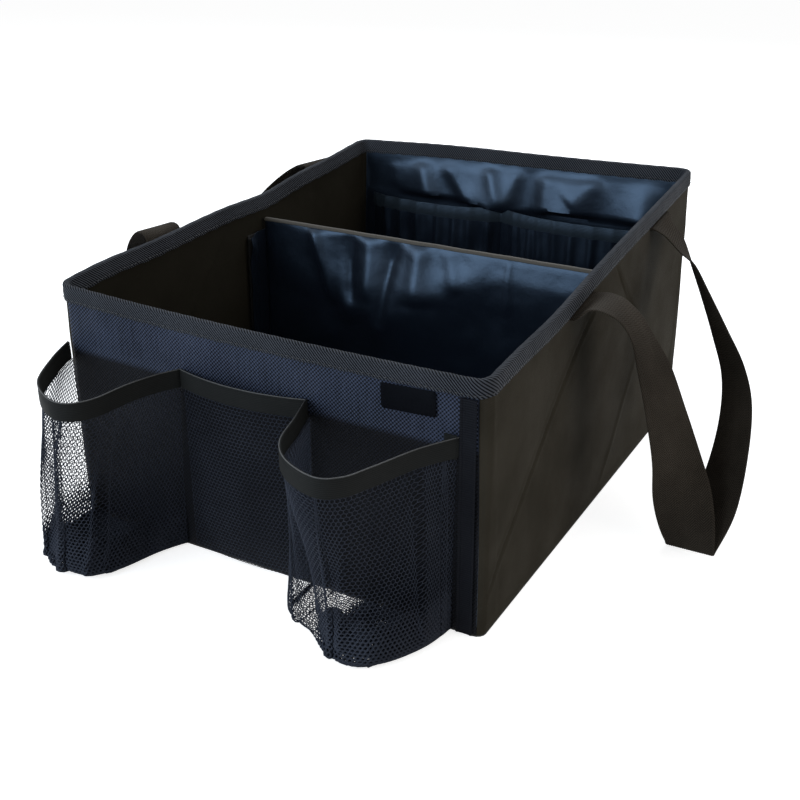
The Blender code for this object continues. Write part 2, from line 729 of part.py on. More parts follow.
def pocket_stand(x, z):
    """How far the gathered inner pocket stands off the rear lining."""
    seam, half = POCKET_SEAM_X, POCKET_HALF_WIDTH
    low, high = (-half, seam) if x < seam else (seam, half)
    share = (x - low) / (high - low)
    up = z / POCKET_TOP
    belly = POCKET_BULGE * (4 * share * (1 - share)) ** POCKET_ROUNDNESS * smooth(up * POCKET_BULGE_RISE)
    folds = GATHER_DEPTH * (0.5 - 0.5 * math.cos(2 * math.pi * GATHERS * share))
    return belly + folds * smooth(up * GATHER_RISE)


def build_inner_pocket(finishes):
    wall_y = HALF_D - INNER_INSET - GAP
    xs = steps(-POCKET_HALF_WIDTH, POCKET_SEAM_X, 2 * GATHERS)
    xs += steps(POCKET_SEAM_X, POCKET_HALF_WIDTH, 2 * GATHERS)[1:]
    band_low = POCKET_TOP - POCKET_BAND_HEIGHT

    def cloth(x, z, face):
        return Vector((x, wall_y - pocket_stand(x, z) - face * LINING_CLOTH, z))

    def band(x, z, face):
        stand = pocket_stand(x, POCKET_TOP) * POCKET_BAND_PULL
        return Vector((x, wall_y - stand - face * POCKET_BAND_CLOTH, z))

    rows = steps(FLOOR_TOP + GAP, band_low - GAP, 4)
    shell("inner_pocket", xs, rows, cloth, finishes["lining"])
    shell("inner_pocket_band", xs, (band_low, POCKET_TOP), band, finishes["band"])


def build_label(finish):
    bm = bmesh.new()
    bmesh.ops.create_cube(bm, size=1)
    turn = Matrix.Rotation(-math.radians(LABEL_TILT), 3, "Y")
    size = Matrix.Diagonal((LABEL_WIDTH, LABEL_CLOTH, LABEL_HEIGHT))
    middle = Vector((HALF_W - LABEL_SIDE_MARGIN, -HALF_D - GAP - LABEL_CLOTH / 2, LABEL_Z))
    for v in bm.verts:
        v.co = middle + turn @ size @ v.co
    make_object("woven_label", bm, finish)


# Handles

def strap_key(side, out, share, height, turn, tilt):
    """One place along the hanging handle: the strap's middle and the direction of its width."""
    front, rear = (strap_exit(side, y)[0] for y in STRAP_ENDS_Y[side])
    slot = front + (rear - front) * share
    lift = STRAP_LIFT[side][0 if share < 0.5 else 1] if height > ARCH_FLOOR else 0.0
    arch = lift * max(0.0, 1 - abs(out - ARCH_REACH) / ARCH_SPREAD)
    turn, tilt = math.radians(turn), math.radians(tilt)
    width = Vector((side * math.sin(turn) * math.cos(tilt), math.cos(turn) * math.cos(tilt), math.sin(tilt)))
    return Vector((side * (HALF_W + out), slot.y, slot.z * height + arch)), width


def strap_exit(side, y):
    """Where a strap end leaves the outer face: its middle, and the direction along the rim."""
    low, high = (wall(side_q(side, y + k * STRAP_WIDTH / 2), STRAP_EXIT_DROP, 0) for k in (-1, 1))
    return (low + high) / 2, (high - low).normalized()


def bar(name, start, end, across, up, finish):
    """A straight bar from start to end, with a rectangular section given by its two half vectors."""
    corners = (-across - up, across - up, across + up, -across + up)
    return loft(name, [[p + c for c in corners] for p in (start, end)], finish)


def strap_end(side, word, y, sign, panel, finish):
    """The sewn tail inside the wall, the slot it leaves by and its lip outside, from the tail's end."""
    exit_middle, along = strap_exit(side, y)
    out = Vector((side, 0, 0))
    up = along.cross(out) * (1 if side < 0 else -1)
    up = up if up.z > 0 else -up
    core = exit_middle - out * (CORE_INSET + BOARD / 2)
    reach = out * SLOT_CUT_REACH
    name = f"slot_cutter_{word}_{'front' if sign > 0 else 'rear'}"
    across = along * (STRAP_WIDTH / 2 + GAP)
    cut(panel, bar(name, exit_middle - reach, exit_middle + reach, across, up * (STRAP / 2 + GAP), finish))
    width = along * sign
    return [(core - up * STRAP_TAIL, width), (core, width), (exit_middle + out * STRAP_LIP, width)]


def strap_sections(route):
    sections = []
    for k, (middle, width) in enumerate(route):
        into = (middle - route[k - 1][0]).normalized() if k else None
        on = (route[k + 1][0] - middle).normalized() if k < len(route) - 1 else into
        into = into or on
        normal = (into + on).normalized().cross(width).normalized()
        mitre = STRAP / 2 / max(0.5, math.sqrt(max(0.0, (1 + into.dot(on)) / 2)))
        half = width * STRAP_WIDTH / 2
        thick = normal * mitre
        near, far = middle - half, middle + half
        sections.append((near - thick, far - thick, far + thick, near + thick))
    return sections


def build_handle(side, word, panel, finish):
    keys = [strap_key(side, *key) for key in STRAP_ROUTE]
    middles = [k[0] for k in keys]
    widths = [k[1] for k in keys]
    halves = [t / 2 for t in range(2 * len(keys) - 1)]
    hang = [(spline(middles, t), spline(widths, t).normalized()) for t in halves]
    signs = zip(STRAP_ENDS_Y[side], (1, -1))
    front, rear = (strap_end(side, word, y, sign, panel, finish) for y, sign in signs)
    loft(f"{word}_handle", strap_sections(front + hang + rear[::-1]), finish)


def main():
    for old in list(bpy.data.objects):
        bpy.data.objects.remove(old)
    finishes = {
        "front": material("front_cloth", (0.030, 0.035, 0.050), 0.75),
        "side": material("side_cloth", (0.030, 0.028, 0.022), 0.70),
        "lining": material("lining_cloth", (0.020, 0.026, 0.040), 0.40),
        "board": material("board", (0.05, 0.05, 0.05), 0.80),
        "binding": material("binding", (0.035, 0.037, 0.042), 0.80),
        "band": material("elastic_band", (0.025, 0.025, 0.024), 0.75),
        "net": material("net", (0.020, 0.022, 0.026), 0.60),
        "tape": material("hook_tape", (0.015, 0.015, 0.016), 0.90),
        "webbing": material("webbing", (0.020, 0.019, 0.017), 0.70),
        "label": material("label", (0.012, 0.013, 0.016), 0.80),
    }
    panels = build_walls(finishes)
    build_binding(finishes["binding"])
    build_nets(finishes)
    build_divider(finishes)
    build_inner_pocket(finishes)
    build_label(finishes["label"])
    build_handle(1, "right", panels[1], finishes["webbing"])
    build_handle(-1, "left", panels[-1], finishes["webbing"])


main()
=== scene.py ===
"""Looks of the fabric car seat organizer: cloth, nets, webbing, stitching, materials, light and camera."""

import math
from bisect import bisect_left

import bmesh
import bpy
from mathutils import Matrix, Vector, noise


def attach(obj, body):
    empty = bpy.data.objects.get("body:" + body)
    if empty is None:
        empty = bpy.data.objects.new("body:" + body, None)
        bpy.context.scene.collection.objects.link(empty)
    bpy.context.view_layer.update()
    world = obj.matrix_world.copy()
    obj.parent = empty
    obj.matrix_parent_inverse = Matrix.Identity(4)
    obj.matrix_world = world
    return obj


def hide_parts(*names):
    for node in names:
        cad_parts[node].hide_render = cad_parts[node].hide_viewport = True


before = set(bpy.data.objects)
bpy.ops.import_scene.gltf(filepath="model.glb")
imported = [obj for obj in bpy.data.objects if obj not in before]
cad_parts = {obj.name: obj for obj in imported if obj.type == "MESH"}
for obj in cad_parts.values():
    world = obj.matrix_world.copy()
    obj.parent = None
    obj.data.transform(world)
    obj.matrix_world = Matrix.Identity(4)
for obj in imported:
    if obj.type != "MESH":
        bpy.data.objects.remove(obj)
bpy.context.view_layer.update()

# Box, as in the source
WIDTH = 0.300
DEPTH = 0.380
HALF_W = WIDTH / 2
HALF_D = DEPTH / 2
RIM_FRONT_LEFT = 0.166
RIM_FRONT_RIGHT = 0.163
RIM_REAR_LEFT = 0.194
RIM_REAR_RIGHT = 0.2015
FRONT_RIM_SAG = 0.0025
CORNER_RADIUS = 0.006
RIM_CORNER_RADIUS = 0.0095
CORNER_TURN = 0.064
PANEL_SEAM_TURN = 0.5
SEAM_GAP_TURN = 0.05
OUTER_CLOTH = 0.0010
GAP = 0.0003
CORE_INSET = 0.0013
LINING_INSET = 0.0034
LINING_CLOTH = 0.0008
INNER_INSET = LINING_INSET + LINING_CLOTH
WALL_BOTTOM = 0.0013
FLOOR_LOW = 0.0038
FLOOR_TOP = 0.0046
BINDING_HEIGHT = 0.0110
BINDING_CLOTH = 0.0008
PANEL_RIM_DROP = 0.0013

# How the soft box stands, as in the source
RIGHT_FOOT_FRONT = 0.0027
RIGHT_FOOT_REAR = 0.0050
FRONT_LEFT_LEAN = 0.0030
STANCE_REACH = 0.030
SIDE_RIM_DIPS = {
    1: ((-0.085, 0.0060, 0.050),),
    -1: ((0.036, 0.0045, 0.045), (0.125, 0.0018, 0.040), (-0.150, -0.0018, 0.035)),
}
REAR_RIM_DIP = (-0.055, -0.0015, 0.070)

# Side walls: bow, and the front and rear folding crease as a height at the middle and a slope along y
BOW_Y = -0.085
BOW_DEPTH = {1: 0.0025, -1: 0.0015}
BOW_SPREAD = 0.050
CREASES = {1: ((0.1685, 0.757), (0.183, -0.94)), -1: ((0.187, 1.06), (0.187, -1.00))}
CREASE_DEPTH = 0.0016
CREASE_SPREAD = 0.010
CREASE_FADE_START = 0.010
CREASE_FADE_END = 0.045
RELIEF_START = 0.030
# Edge of the stiffened strip beside the front corner: distance from the middle at the top and at the foot
STRIP_EDGE = (-0.181, -0.168)

# Folds of the rear lining: upper and lower end as (x, z), width, height
REAR_FOLDS = (
    ((-0.113, 0.176), (-0.112, 0.158), 0.0080, 0.0012),
    ((-0.086, 0.180), (-0.074, 0.150), 0.0080, 0.0026),
    ((-0.0615, 0.182), (-0.038, 0.151), 0.0085, 0.0030),
    ((-0.0226, 0.186), (-0.0085, 0.153), 0.0070, 0.0026),
    ((0.0068, 0.187), (-0.0034, 0.153), 0.0065, 0.0022),
    ((0.0322, 0.184), (0.030, 0.150), 0.0090, 0.0026),
    ((0.0741, 0.184), (0.056, 0.162), 0.0120, 0.0030),
)
# The slack of the rear lining, and the start and pitch of its swags
REAR_SLACK = 0.0090
REAR_SWAG = (-0.090, 0.070)

# How uneven each cloth is: height and width of its bumps, and where in the noise they are taken from
WAVES = {
    "front": ((0.0006, 0.060, (0, 0.3, 0)), (0.0003, 0.022, (0, 1.7, 0))),
    "pucker": ((2, 0.05, (0, 0, 0)),),
    "side": ((0.0008, 0.065, (0, 0, 0)), (0.0003, 0.024, (3, 0, 0))),
    "rear": ((0.0007, 0.070, (0, 4.2, 0)), (0.0003, 0.024, (0, 5.1, 0))),
    "front_lining": ((0.0012, 0.035, (0, 6.3, 0)),),
    "rear_lining": ((0.0012, 0.030, (0, 8.1, 0)),),
    "side_lining": ((0.0012, 0.045, (0, 0, 2)), (0.0004, 0.018, (0, 5, 0))),
    "floor": ((0.0006, 0.050, (0, 0, 0)), (0.0003, 0.018, (0, 0, 3))),
    "rim": ((0.0002, 5, (0, 5, 0)),),
    "rim_phase": ((2, 9, (0, 0, 0)),),
    "net_roll": ((0.45, 0.07, (0, 3.3, 0)),),
    "band": ((0.0005, 0.030, (0, 0, 0)), (0.0003, 0.010, (0, 4, 0))),
    "band_tab": ((0.0003, 0.006, (0, 2, 0)),),
    "corner_tape": ((0.0003, 0.02, (0, 0, 0)),),
    "divider_front": ((0.0012, 0.030, (0, 9.4, 0)), (0.0004, 0.012, (0, 2.4, 0))),
    "divider_rear": ((0.0012, 0.040, (0, 3.9, 0)),),
    "divider_edge": ((0.0003, 0.02, (0, 0, 0)),),
    "flap": ((1, 0.02, (0, 0, 0)),),
    "inner_pocket": ((0.0009, 0.007, (0, 7, 0)),),
}

# Mesh spacing: fine, coarse, and the steps round half a corner
CLOTH_STEP = 0.0026
COARSE_STEP = 0.0038
CORNER_STEPS = 6

# Net pockets, plans and profiles as in the source
NET_SEAMS = (0.004 - HALF_W, 0.094 - HALF_W, HALF_W - 0.114, HALF_W - 0.016)
FLAT_POCKET_REACH = 0.0075
NET_BAND_TOP = 0.128
NET_BAND_HEIGHT = 0.012
NET_BAND_CLOTH = 0.0014
NET_TOP = NET_BAND_TOP - NET_BAND_HEIGHT + 0.0005
NET_EDGE = 0.0016
NET_THREAD = 0.00062
NET_FLOOR_THREAD = 0.0018
NET_GATHER = (0.012, 0.036)
NET_CELL = 0.00162
NET_SLANT = 0.29
NET_TURN = -60
EDGE_TAPE_GAP = 0.0007
EDGE_TAPE_WIDTH = 0.0093
LEFT_BAND_PLAN = (
    (0.00, 0.000), (0.12, 0.025), (0.32, 0.056), (0.56, 0.0715), (0.73, 0.073),
    (0.83, 0.060), (0.86, 0.036), (0.92, 0.015), (1.00, 0.000),
)
LEFT_FLOOR_PLAN = (
    (0.02, 0.000), (0.05, 0.031), (0.14, 0.047), (0.31, 0.058), (0.49, 0.063),
    (0.65, 0.060), (0.76, 0.048), (0.85, 0.021), (0.95, 0.000),
)
RIGHT_BAND_PLAN = (
    (0.00, 0.000), (0.08, 0.023), (0.17, 0.051), (0.32, 0.068), (0.55, 0.077),
    (0.68, 0.070), (0.76, 0.052), (0.87, 0.023), (1.00, 0.000),
)
RIGHT_FLOOR_PLAN = (
    (0.00, 0.000), (0.02, 0.029), (0.18, 0.040), (0.34, 0.045), (0.50, 0.053),
    (0.66, 0.055), (0.80, 0.048), (0.93, 0.025), (0.98, 0.000),
)
BOTTLE_PROFILE = (
    (0.00, 1.00, NET_TOP),
    (0.30, 1.03, 0.092),
    (0.65, 1.03, 0.060),
    (0.90, 1.05, 0.026),
    (1.00, 1.08, 0.0100),
    (1.00, 1.00, 0.0030),
    (1.00, 0.50, 0.0018),
    (1.00, 0.00, 0.0018),
)
# Slack net rolled up inside each bottle pocket's floor: share of the reach and height
NET_ROLL = ((0.50, 0.0036), (0.93, 0.0042), (0.955, 0.015), (0.90, 0.024), (0.80, 0.019), (0.70, 0.007))
NET_FLOOR = 0.0034
# Broad folds of the nets: two ends as shares across and down, width and height; an inward one is negative
LEFT_NET_FOLDS = (
    ((0.20, 0.03), (0.24, 0.32), 0.030, -0.010),
    ((0.33, 0.00), (0.30, 0.28), 0.030, 0.005),
    ((0.12, 0.26), (0.45, 0.38), 0.030, 0.005),
    ((0.70, 0.05), (0.62, 0.36), 0.030, 0.004),
)
RIGHT_NET_FOLDS = (
    ((0.30, 0.03), (0.36, 0.24), 0.030, -0.005),
    ((0.86, 0.01), (0.90, 0.32), 0.020, 0.006),
    ((0.35, 0.33), (0.70, 0.39), 0.030, 0.004),
    ((0.62, 0.06), (0.55, 0.30), 0.026, 0.003),
)
# Pleats of the nets: share across, half width, how far it folds over itself and stands off, share down
LEFT_PLEATS = (
    (0.455, 0.010, 0.020, 0.0030, 0.00),
    (0.30, 0.008, 0.014, 0.0024, 0.05),
    (0.72, 0.007, 0.012, 0.0018, 0.22),
)
RIGHT_PLEATS = (
    (0.50, 0.009, 0.014, 0.0022, 0.02),
    (0.22, 0.008, 0.014, 0.0022, 0.03),
    (0.955, 0.008, 0.012, 0.0024, 0.00),
    (0.70, 0.006, 0.010, 0.0016, 0.26),
)
FLAT_PROFILE = ((0.00, 1.00, NET_TOP), (0.00, 0.90, 0.080), (0.00, 0.70, 0.030), (0.00, 0.50, 0.0030))

# Divider and inner pocket
DIVIDER_Y = 0.026
DIVIDER_TOP = 0.1605
DIVIDER_HALF_WIDTH = HALF_W - INNER_INSET - 0.0036
DIVIDER_BOARD = 0.0012
BELLY_DEPTH = (0.0030, 0.0080)
BELLY_SIDE = (-0.098, -0.040)
BELLY_FULL = (0.020, 0.034)
BELLY_PEAK = (-0.024, 0.052)
BELLY_FLAT = 0.110
# Folds of the divider's front cloth: upper and lower end as (x, z), width, height; a hollow is negative
DIVIDER_FOLDS = (
    ((-0.098, 0.156), (-0.060, 0.095), 0.0100, 0.0030),
    ((-0.0956, 0.1600), (-0.0786, 0.105), 0.0045, 0.0030),
    ((-0.064, 0.1556), (-0.0585, 0.1085), 0.0055, -0.0034),
    ((-0.024, 0.160), (-0.033, 0.095), 0.0050, -0.0030),
    ((-0.004, 0.158), (-0.002, 0.118), 0.0110, 0.0045),
    ((-0.046, 0.158), (-0.044, 0.115), 0.0070, 0.0026),
    ((0.020, 0.158), (0.030, 0.130), 0.0060, 0.0014),
    ((0.069, 0.160), (0.070, 0.120), 0.0025, 0.0012),
)
# Folds of the divider's rear cloth, the same way
DIVIDER_REAR_FOLDS = (
    ((0.060, 0.150), (0.030, 0.080), 0.010, 0.0020),
    ((-0.050, 0.155), (-0.075, 0.090), 0.009, 0.0020),
)
FLAP_REACH = 0.026
FLAP_BOTTOM = 0.020
FLAP_TOP = 0.152
POCKET_TOP = 0.150
POCKET_HALF_WIDTH = HALF_W - 0.0165
POCKET_SEAM_X = -0.007
POCKET_BULGE = 0.013
# Ridges of the gathered pocket, counted across the rear wall
POCKET_RIDGES = (
    -0.118, -0.101, -0.083, -0.0626, -0.0468, -0.0332, -0.0160,
    0.0060, 0.0148, 0.0221, 0.0312, 0.0456, 0.0606, 0.078, 0.095, 0.112,
)
POCKET_BAND_HEIGHT = 0.012
POCKET_BAND_CLOTH = 0.0012

# Label
LABEL_MIDDLE = (HALF_W - 0.0477, 0.1425)
LABEL_SIZE = (0.034, 0.015)
LABEL_TILT = 2.5

# Handles
STRAP_WIDTH = 0.038
STRAP = 0.0014
STRAP_TAIL = 0.028
STRAP_EXIT_DROP = 0.0132
STRAP_LIP = 0.003
STRAP_ENDS_Y = {1: (-0.047, 0.107), -1: (-0.083, 0.132)}
# How much higher the front and the rear arch of each handle stand
STRAP_LIFT = {1: (0.0, 0.0), -1: (0.0115, 0.0205)}
ARCH_REACH = 0.017
ARCH_SPREAD = 0.026
ARCH_FLOOR = 0.75
# Route of a handle: how far out, share from front to rear end, height as a share, turn and tilt in degrees
STRAP_ROUTE = (
    (0.0097, 0.019, 1.017, 3, 0), (0.0194, 0.024, 1.006, 4, -5),
    (0.0301, 0.030, 0.961, 5, -11), (0.0386, 0.045, 0.880, 8, -14),
    (0.0467, 0.061, 0.761, 18, -10), (0.0574, 0.066, 0.576, 25, -4),
    (0.0681, 0.071, 0.372, 42, -2), (0.0765, 0.047, 0.190, 80, 8),
    (0.0830, 0.024, 0.056, 108, 12), (0.0845, 0.045, 0.046, 111, 14),
    (0.0903, 0.190, 0.150, 114, 20), (0.0904, 0.378, 0.304, 123, 28),
    (0.0864, 0.536, 0.447, 132, 32), (0.0775, 0.651, 0.560, 144, 31),
    (0.0630, 0.742, 0.667, 153, 28), (0.0467, 0.828, 0.782, 162, 27),
    (0.0329, 0.908, 0.867, 165, 19), (0.0199, 0.984, 0.918, 168, 1),
    (0.0087, 1.004, 0.968, 171, -1),
)
STRAP_RIBS = 22
STRAP_ROWS = 4
RIB_HEIGHT = 0.00013

# Camera, solved from the photograph
CAMERA_PLACE = (0.3631, -0.6821, 0.3952)
CAMERA_AZIMUTH = 28.4
CAMERA_ELEVATION = 24.46
CAMERA_ROLL = 0.54
CAMERA_LENS = 50.07
CAMERA_SENSOR = 36
CAMERA_NEAR = 0.01

# Stage
FLOOR_LIFT = 0.76
WORLD_LIGHT = 0.26


# Curves and small functions

TINY = 1e-9


def smooth(t):
    t = max(0.0, min(1.0, t))
    return t * t * (3 - 2 * t)


def ease(value, start, length):
    """0 before the start, 1 a length after it, and smooth between."""
    return smooth((value - start) / length)


def bump(distance, spread):
    return math.exp(-((distance / spread) ** 2))


def ridges(at, rows):
    """Height of a row of soft ridges, each given by its middle, height and width."""
    return sum(height * bump(at - middle, width) for middle, height, width in rows)


def steps(low, high, count):
    return [low + (high - low) * k / count for k in range(count + 1)]


def spline(values, t):
    """Catmull-Rom through a list of vectors, t counted in its places."""
    k = min(int(t), len(values) - 2)
    u = t - k
    p0, p1, p2, p3 = (values[max(0, min(len(values) - 1, k + n))] for n in (-1, 0, 1, 2))
    square = 2 * p0 - 5 * p1 + 4 * p2 - p3
    cube = 3 * p1 - p0 - 3 * p2 + p3
    return 0.5 * (2 * p1 + (p2 - p0) * u + square * u**2 + cube * u**3)


def waves(name, x, y, z):
    """How far a cloth stands off evenly flat at a place."""
    place = Vector((x, y, z))
    return sum(height * noise.noise((place + Vector(at)) / width) for height, width, at in WAVES[name])


FOLD_TAPER = 4
FOLD_END = 0.3
FOLD_ROUND = 1.7
FOLD_REACH = 1.5


def fold(u, v, start, end, width, height):
    """Height of a soft ridge between two places on a cloth, fading towards its ends."""
    au, av = start
    du, dv = end[0] - au, end[1] - av
    length = math.hypot(du, dv)
    along = ((u - au) * du + (v - av) * dv) / length**2
    across = abs((u - au) * dv - (v - av) * du) / length
    reach = max(0.0, -along, along - 1) * length
    taper = math.sqrt(max(0.0, min(1.0, min(along, 1 - along) * FOLD_TAPER + FOLD_END)))
    return height * taper * math.exp(-((across / width) ** FOLD_ROUND)) * bump(reach, width * FOLD_REACH)


def folds(u, v, rows):
    return sum(fold(u, v, *row) for row in rows)


# Shape of the box, as in the source

LEAST_RADIUS = 0.0005


def rim_height(x, y):
    across = 0.5 + x / WIDTH
    back = 0.5 + y / DEPTH
    front = RIM_FRONT_LEFT + (RIM_FRONT_RIGHT - RIM_FRONT_LEFT) * across
    rear = RIM_REAR_LEFT + (RIM_REAR_RIGHT - RIM_REAR_LEFT) * across
    height = front + (rear - front) * back
    sag = FRONT_RIM_SAG * max(0.0, 1 - (x / HALF_W) ** 2) * smooth(-2 * y / DEPTH)
    side_dip = ridges(y, SIDE_RIM_DIPS[1 if x > 0 else -1]) * smooth(2 * abs(x) / HALF_W - 1)
    rear_dip = ridges(x, [REAR_RIM_DIP]) * smooth(2 * y / HALF_D - 1)
    return height - sag - side_dip - rear_dip


def settled(p):
    """Where a point of the straight box stands in the soft one; handles far from the walls stay."""
    near = smooth((HALF_W + STANCE_REACH - abs(p.x)) / STANCE_REACH)
    if near == 0:
        return p
    up = max(0.0, min(1.0, p.z / rim_height(p.x, p.y)))
    back = 0.5 + max(-0.5, min(0.5, p.y / DEPTH))
    foot = (RIGHT_FOOT_FRONT + (RIGHT_FOOT_REAR - RIGHT_FOOT_FRONT) * back) * (1 - up) if p.x > 0 else 0.0
    lean = FRONT_LEFT_LEAN * up * smooth(-p.y / HALF_D) if p.x < 0 else 0.0
    across = min(1.0, abs(p.x) / HALF_W) ** 2
    return p + Vector(((foot - lean) * across * near, 0, 0))


def crease_distance(side, y, z):
    middle, slope = CREASES[side][0 if y < 0 else 1]
    return abs(z - middle - slope * y) / math.hypot(1, slope)


def side_relief(side, y, z):
    """How far a side wall stands inside its flat plane: its bow and its two folding creases."""
    up = z / rim_height(side * HALF_W, y)
    bow = BOW_DEPTH[side] * bump(y - BOW_Y, BOW_SPREAD) * up
    crease = math.exp(-crease_distance(side, y, z) / CREASE_SPREAD)
    fade = smooth((abs(y) - CREASE_FADE_START) / (CREASE_FADE_END - CREASE_FADE_START))
    ends = smooth((HALF_D - abs(y)) / (3 * RIM_CORNER_RADIUS)) * smooth(z / RELIEF_START)
    return (bow + CREASE_DEPTH * crease * fade) * ends


def half_side(t, half_length, half_other, radius):
    straight = half_length - radius
    if t <= 1 - CORNER_TURN:
        return straight * t / (1 - CORNER_TURN), half_other, 0.0, 1.0
    angle = (t - 1 + CORNER_TURN) / CORNER_TURN * math.pi / 4
    sine, cosine = math.sin(angle), math.cos(angle)
    return straight + radius * sine, half_other - radius * (1 - cosine), sine, cosine


def outline(q, radius, inset):
    """Plan point and outward normal; q is 0 in front, 2 right, 4 rear, 6 left, and odd at the corners."""
    q %= 8
    number = round(q / 2) % 4
    offset = (q - 2 * number + 4) % 8 - 4
    sign = 1 if offset >= 0 else -1
    width, depth = HALF_W - inset, HALF_D - inset
    lengths = (width, depth) if number % 2 == 0 else (depth, width)
    along, out, n_along, n_out = half_side(abs(offset), *lengths, max(radius - inset, LEAST_RADIUS))
    along, n_along = sign * along, sign * n_along
    turned = ((along, -out), (out, along), (-along, out), (-out, -along))[number]
    normal = ((n_along, -n_out), (n_out, n_along), (-n_along, n_out), (-n_out, -n_along))[number]
    return Vector(turned), Vector(normal)


def outward(q, radius=CORNER_RADIUS):
    return outline(q, radius, 0)[1].to_3d()


def side_number(q):
    return round((q % 8) / 2) % 4


def wall(q, z, inset):
    """Point on the wall at a height, that far inside the outer face."""
    flat, _ = outline(q, RIM_CORNER_RADIUS, 0)
    rim = rim_height(flat.x, flat.y)
    radius = CORNER_RADIUS + (RIM_CORNER_RADIUS - CORNER_RADIUS) * smooth(z / rim) ** 2
    flat, normal = outline(q, radius, inset)
    if side_number(q) in (1, 3):
        flat = flat - normal * side_relief(1 if flat.x > 0 else -1, flat.y, z)
    return Vector((flat.x, flat.y, z))


def rim_at(q):
    flat, _ = outline(q, RIM_CORNER_RADIUS, 0)
    return rim_height(flat.x, flat.y)


def front_q(x):
    return x / (HALF_W - CORNER_RADIUS) * (1 - CORNER_TURN)


def side_q(side, y):
    t = y / (HALF_D - CORNER_RADIUS) * (1 - CORNER_TURN)
    return 2 + t if side > 0 else 6 - t


def lining_inset(below_rim):
    share = smooth((BINDING_HEIGHT - below_rim) / (BINDING_HEIGHT - PANEL_RIM_DROP))
    return LINING_INSET + (CORE_INSET - LINING_INSET) * share


def wall_columns(first, last, step=CLOTH_STEP):
    """q values from first to last: even steps on the straights, close together round each corner."""
    found = [first, last]
    for corner in (-1, 1, 3, 5, 7):
        length = (HALF_W if corner in (-1, 3, 7) else HALF_D) * 2
        found += steps(corner - CORNER_TURN, corner + CORNER_TURN, 2 * CORNER_STEPS)
        found += steps(corner + CORNER_TURN, corner + 2 - CORNER_TURN, int(length / step))[1:-1]
    near = CORNER_TURN / (3 * CORNER_STEPS)
    inside = sorted(q for q in found if first + near < q < last - near)
    return [first, *inside, last]


# Mesh making

SMOOTH_ANGLE = 50
CORD_ANGLE = 80
EVERY_ANGLE = 180
# A stitch's length, the distance from one to the next, and its thread's radius
STITCH = (0.0024, 0.0036, 0.00022)
LABEL_STITCH = (0.0014, 0.0021, 0.00014)
# How a stitch is arched: share along it, lift and thickness, both counted in its radius
STITCH_ARCH = ((0.0, 0.2, 0.45), (0.25, 1.0, 1.0), (0.75, 1.0, 1.0), (1.0, 0.2, 0.45))
STITCH_SIDES = 5
STITCH_ANGLE = 70
CORD_SIDES = 6


def arc_lengths(points, closed=False):
    found = [0.0]
    following = points[1:] + points[:1] if closed else points[1:]
    for a, b in zip(points, following):
        found.append(found[-1] + (b - a).length)
    return found


def located(run, at):
    """The stretch of a line that holds a distance along it, and the share of that stretch."""
    k = max(0, min(bisect_left(run, at) - 1, len(run) - 2))
    return k, (at - run[k]) / max(run[k + 1] - run[k], TINY)


def new_mesh(name, verts, faces):
    mesh = bpy.data.meshes.new(name)
    mesh.from_pydata(verts, [], faces)
    return mesh


def in_scene(name, data):
    made = bpy.data.objects.new(name, data)
    bpy.context.scene.collection.objects.link(made)
    return made


def make(name, grid, finish, nodes=(), slot=None, close_i=False, cap=False):
    """A tube from a grid of rings, with a map in metres along both ways. cap closes its two ends."""
    count_i, count_j = len(grid), len(grid[0])
    along = arc_lengths([row[0] for row in grid], close_i)
    middle = arc_lengths([row[count_j // 2] for row in grid], close_i)
    along = [(a + b) / 2 for a, b in zip(along, middle)]
    across = arc_lengths(grid[count_i // 2], True)
    faces, places = [], []
    for i in range(count_i if close_i else count_i - 1):
        for j in range(count_j):
            k, m = (i + 1) % count_i, (j + 1) % count_j
            faces.append((i * count_j + j, k * count_j + j, k * count_j + m, i * count_j + m))
            places += [(along[i], across[j]), (along[i + 1], across[j])]
            places += [(along[i + 1], across[j + 1]), (along[i], across[j + 1])]
    if cap:
        for i in (0, count_i - 1):
            for j in range(count_j // 2 - 1):
                ring = (j, j + 1, count_j - 2 - j, count_j - 1 - j)
                ring = ring if i else ring[::-1]
                faces.append(tuple(i * count_j + n for n in ring))
                places += [(along[i], across[n]) for n in ring]
    mesh = new_mesh(name, [p for row in grid for p in row], faces)
    layer_map = mesh.uv_layers.new(name="cloth")
    layer_map.data.foreach_set("uv", [c for place in places for c in place])
    mesh.validate()
    return dress(name, mesh, finish, nodes, slot)


def dress(name, mesh, finish, nodes=(), slot=None, smooth_angle=SMOOTH_ANGLE):
    """Settles a mesh with the soft box, and adds it as a piece of the object."""
    bm = bmesh.new()
    bm.from_mesh(mesh)
    for v in bm.verts:
        v.co = settled(v.co)
    bmesh.ops.recalc_face_normals(bm, faces=bm.faces)
    bm.to_mesh(mesh)
    bm.free()
    mesh.materials.clear()
    mesh.materials.append(finish)
    mesh.shade_smooth()
    mesh.set_sharp_from_angle(angle=math.radians(smooth_angle))
    made = in_scene(name, mesh)
    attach(made, "root")
    if nodes:
        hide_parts(*nodes)
    return made


def cloth(name, columns, rows, point, thickness, finish, nodes, slot):
    """A closed sheet: point(column, row) is its face, and its back lies the thickness behind it."""
    face = [[point(c, r) for r in rows] for c in columns]
    last_i, last_j = len(columns) - 1, len(rows) - 1
    ring = []
    for i in range(last_i + 1):
        back = []
        for j in range(last_j + 1):
            du = face[min(i + 1, last_i)][j] - face[max(i - 1, 0)][j]
            dv = face[i][min(j + 1, last_j)] - face[i][max(j - 1, 0)]
            back.append(face[i][j] - du.cross(dv).normalized() * thickness)
        ring.append(face[i] + back[::-1])
    return make(name, ring, finish, nodes, slot, cap=True)


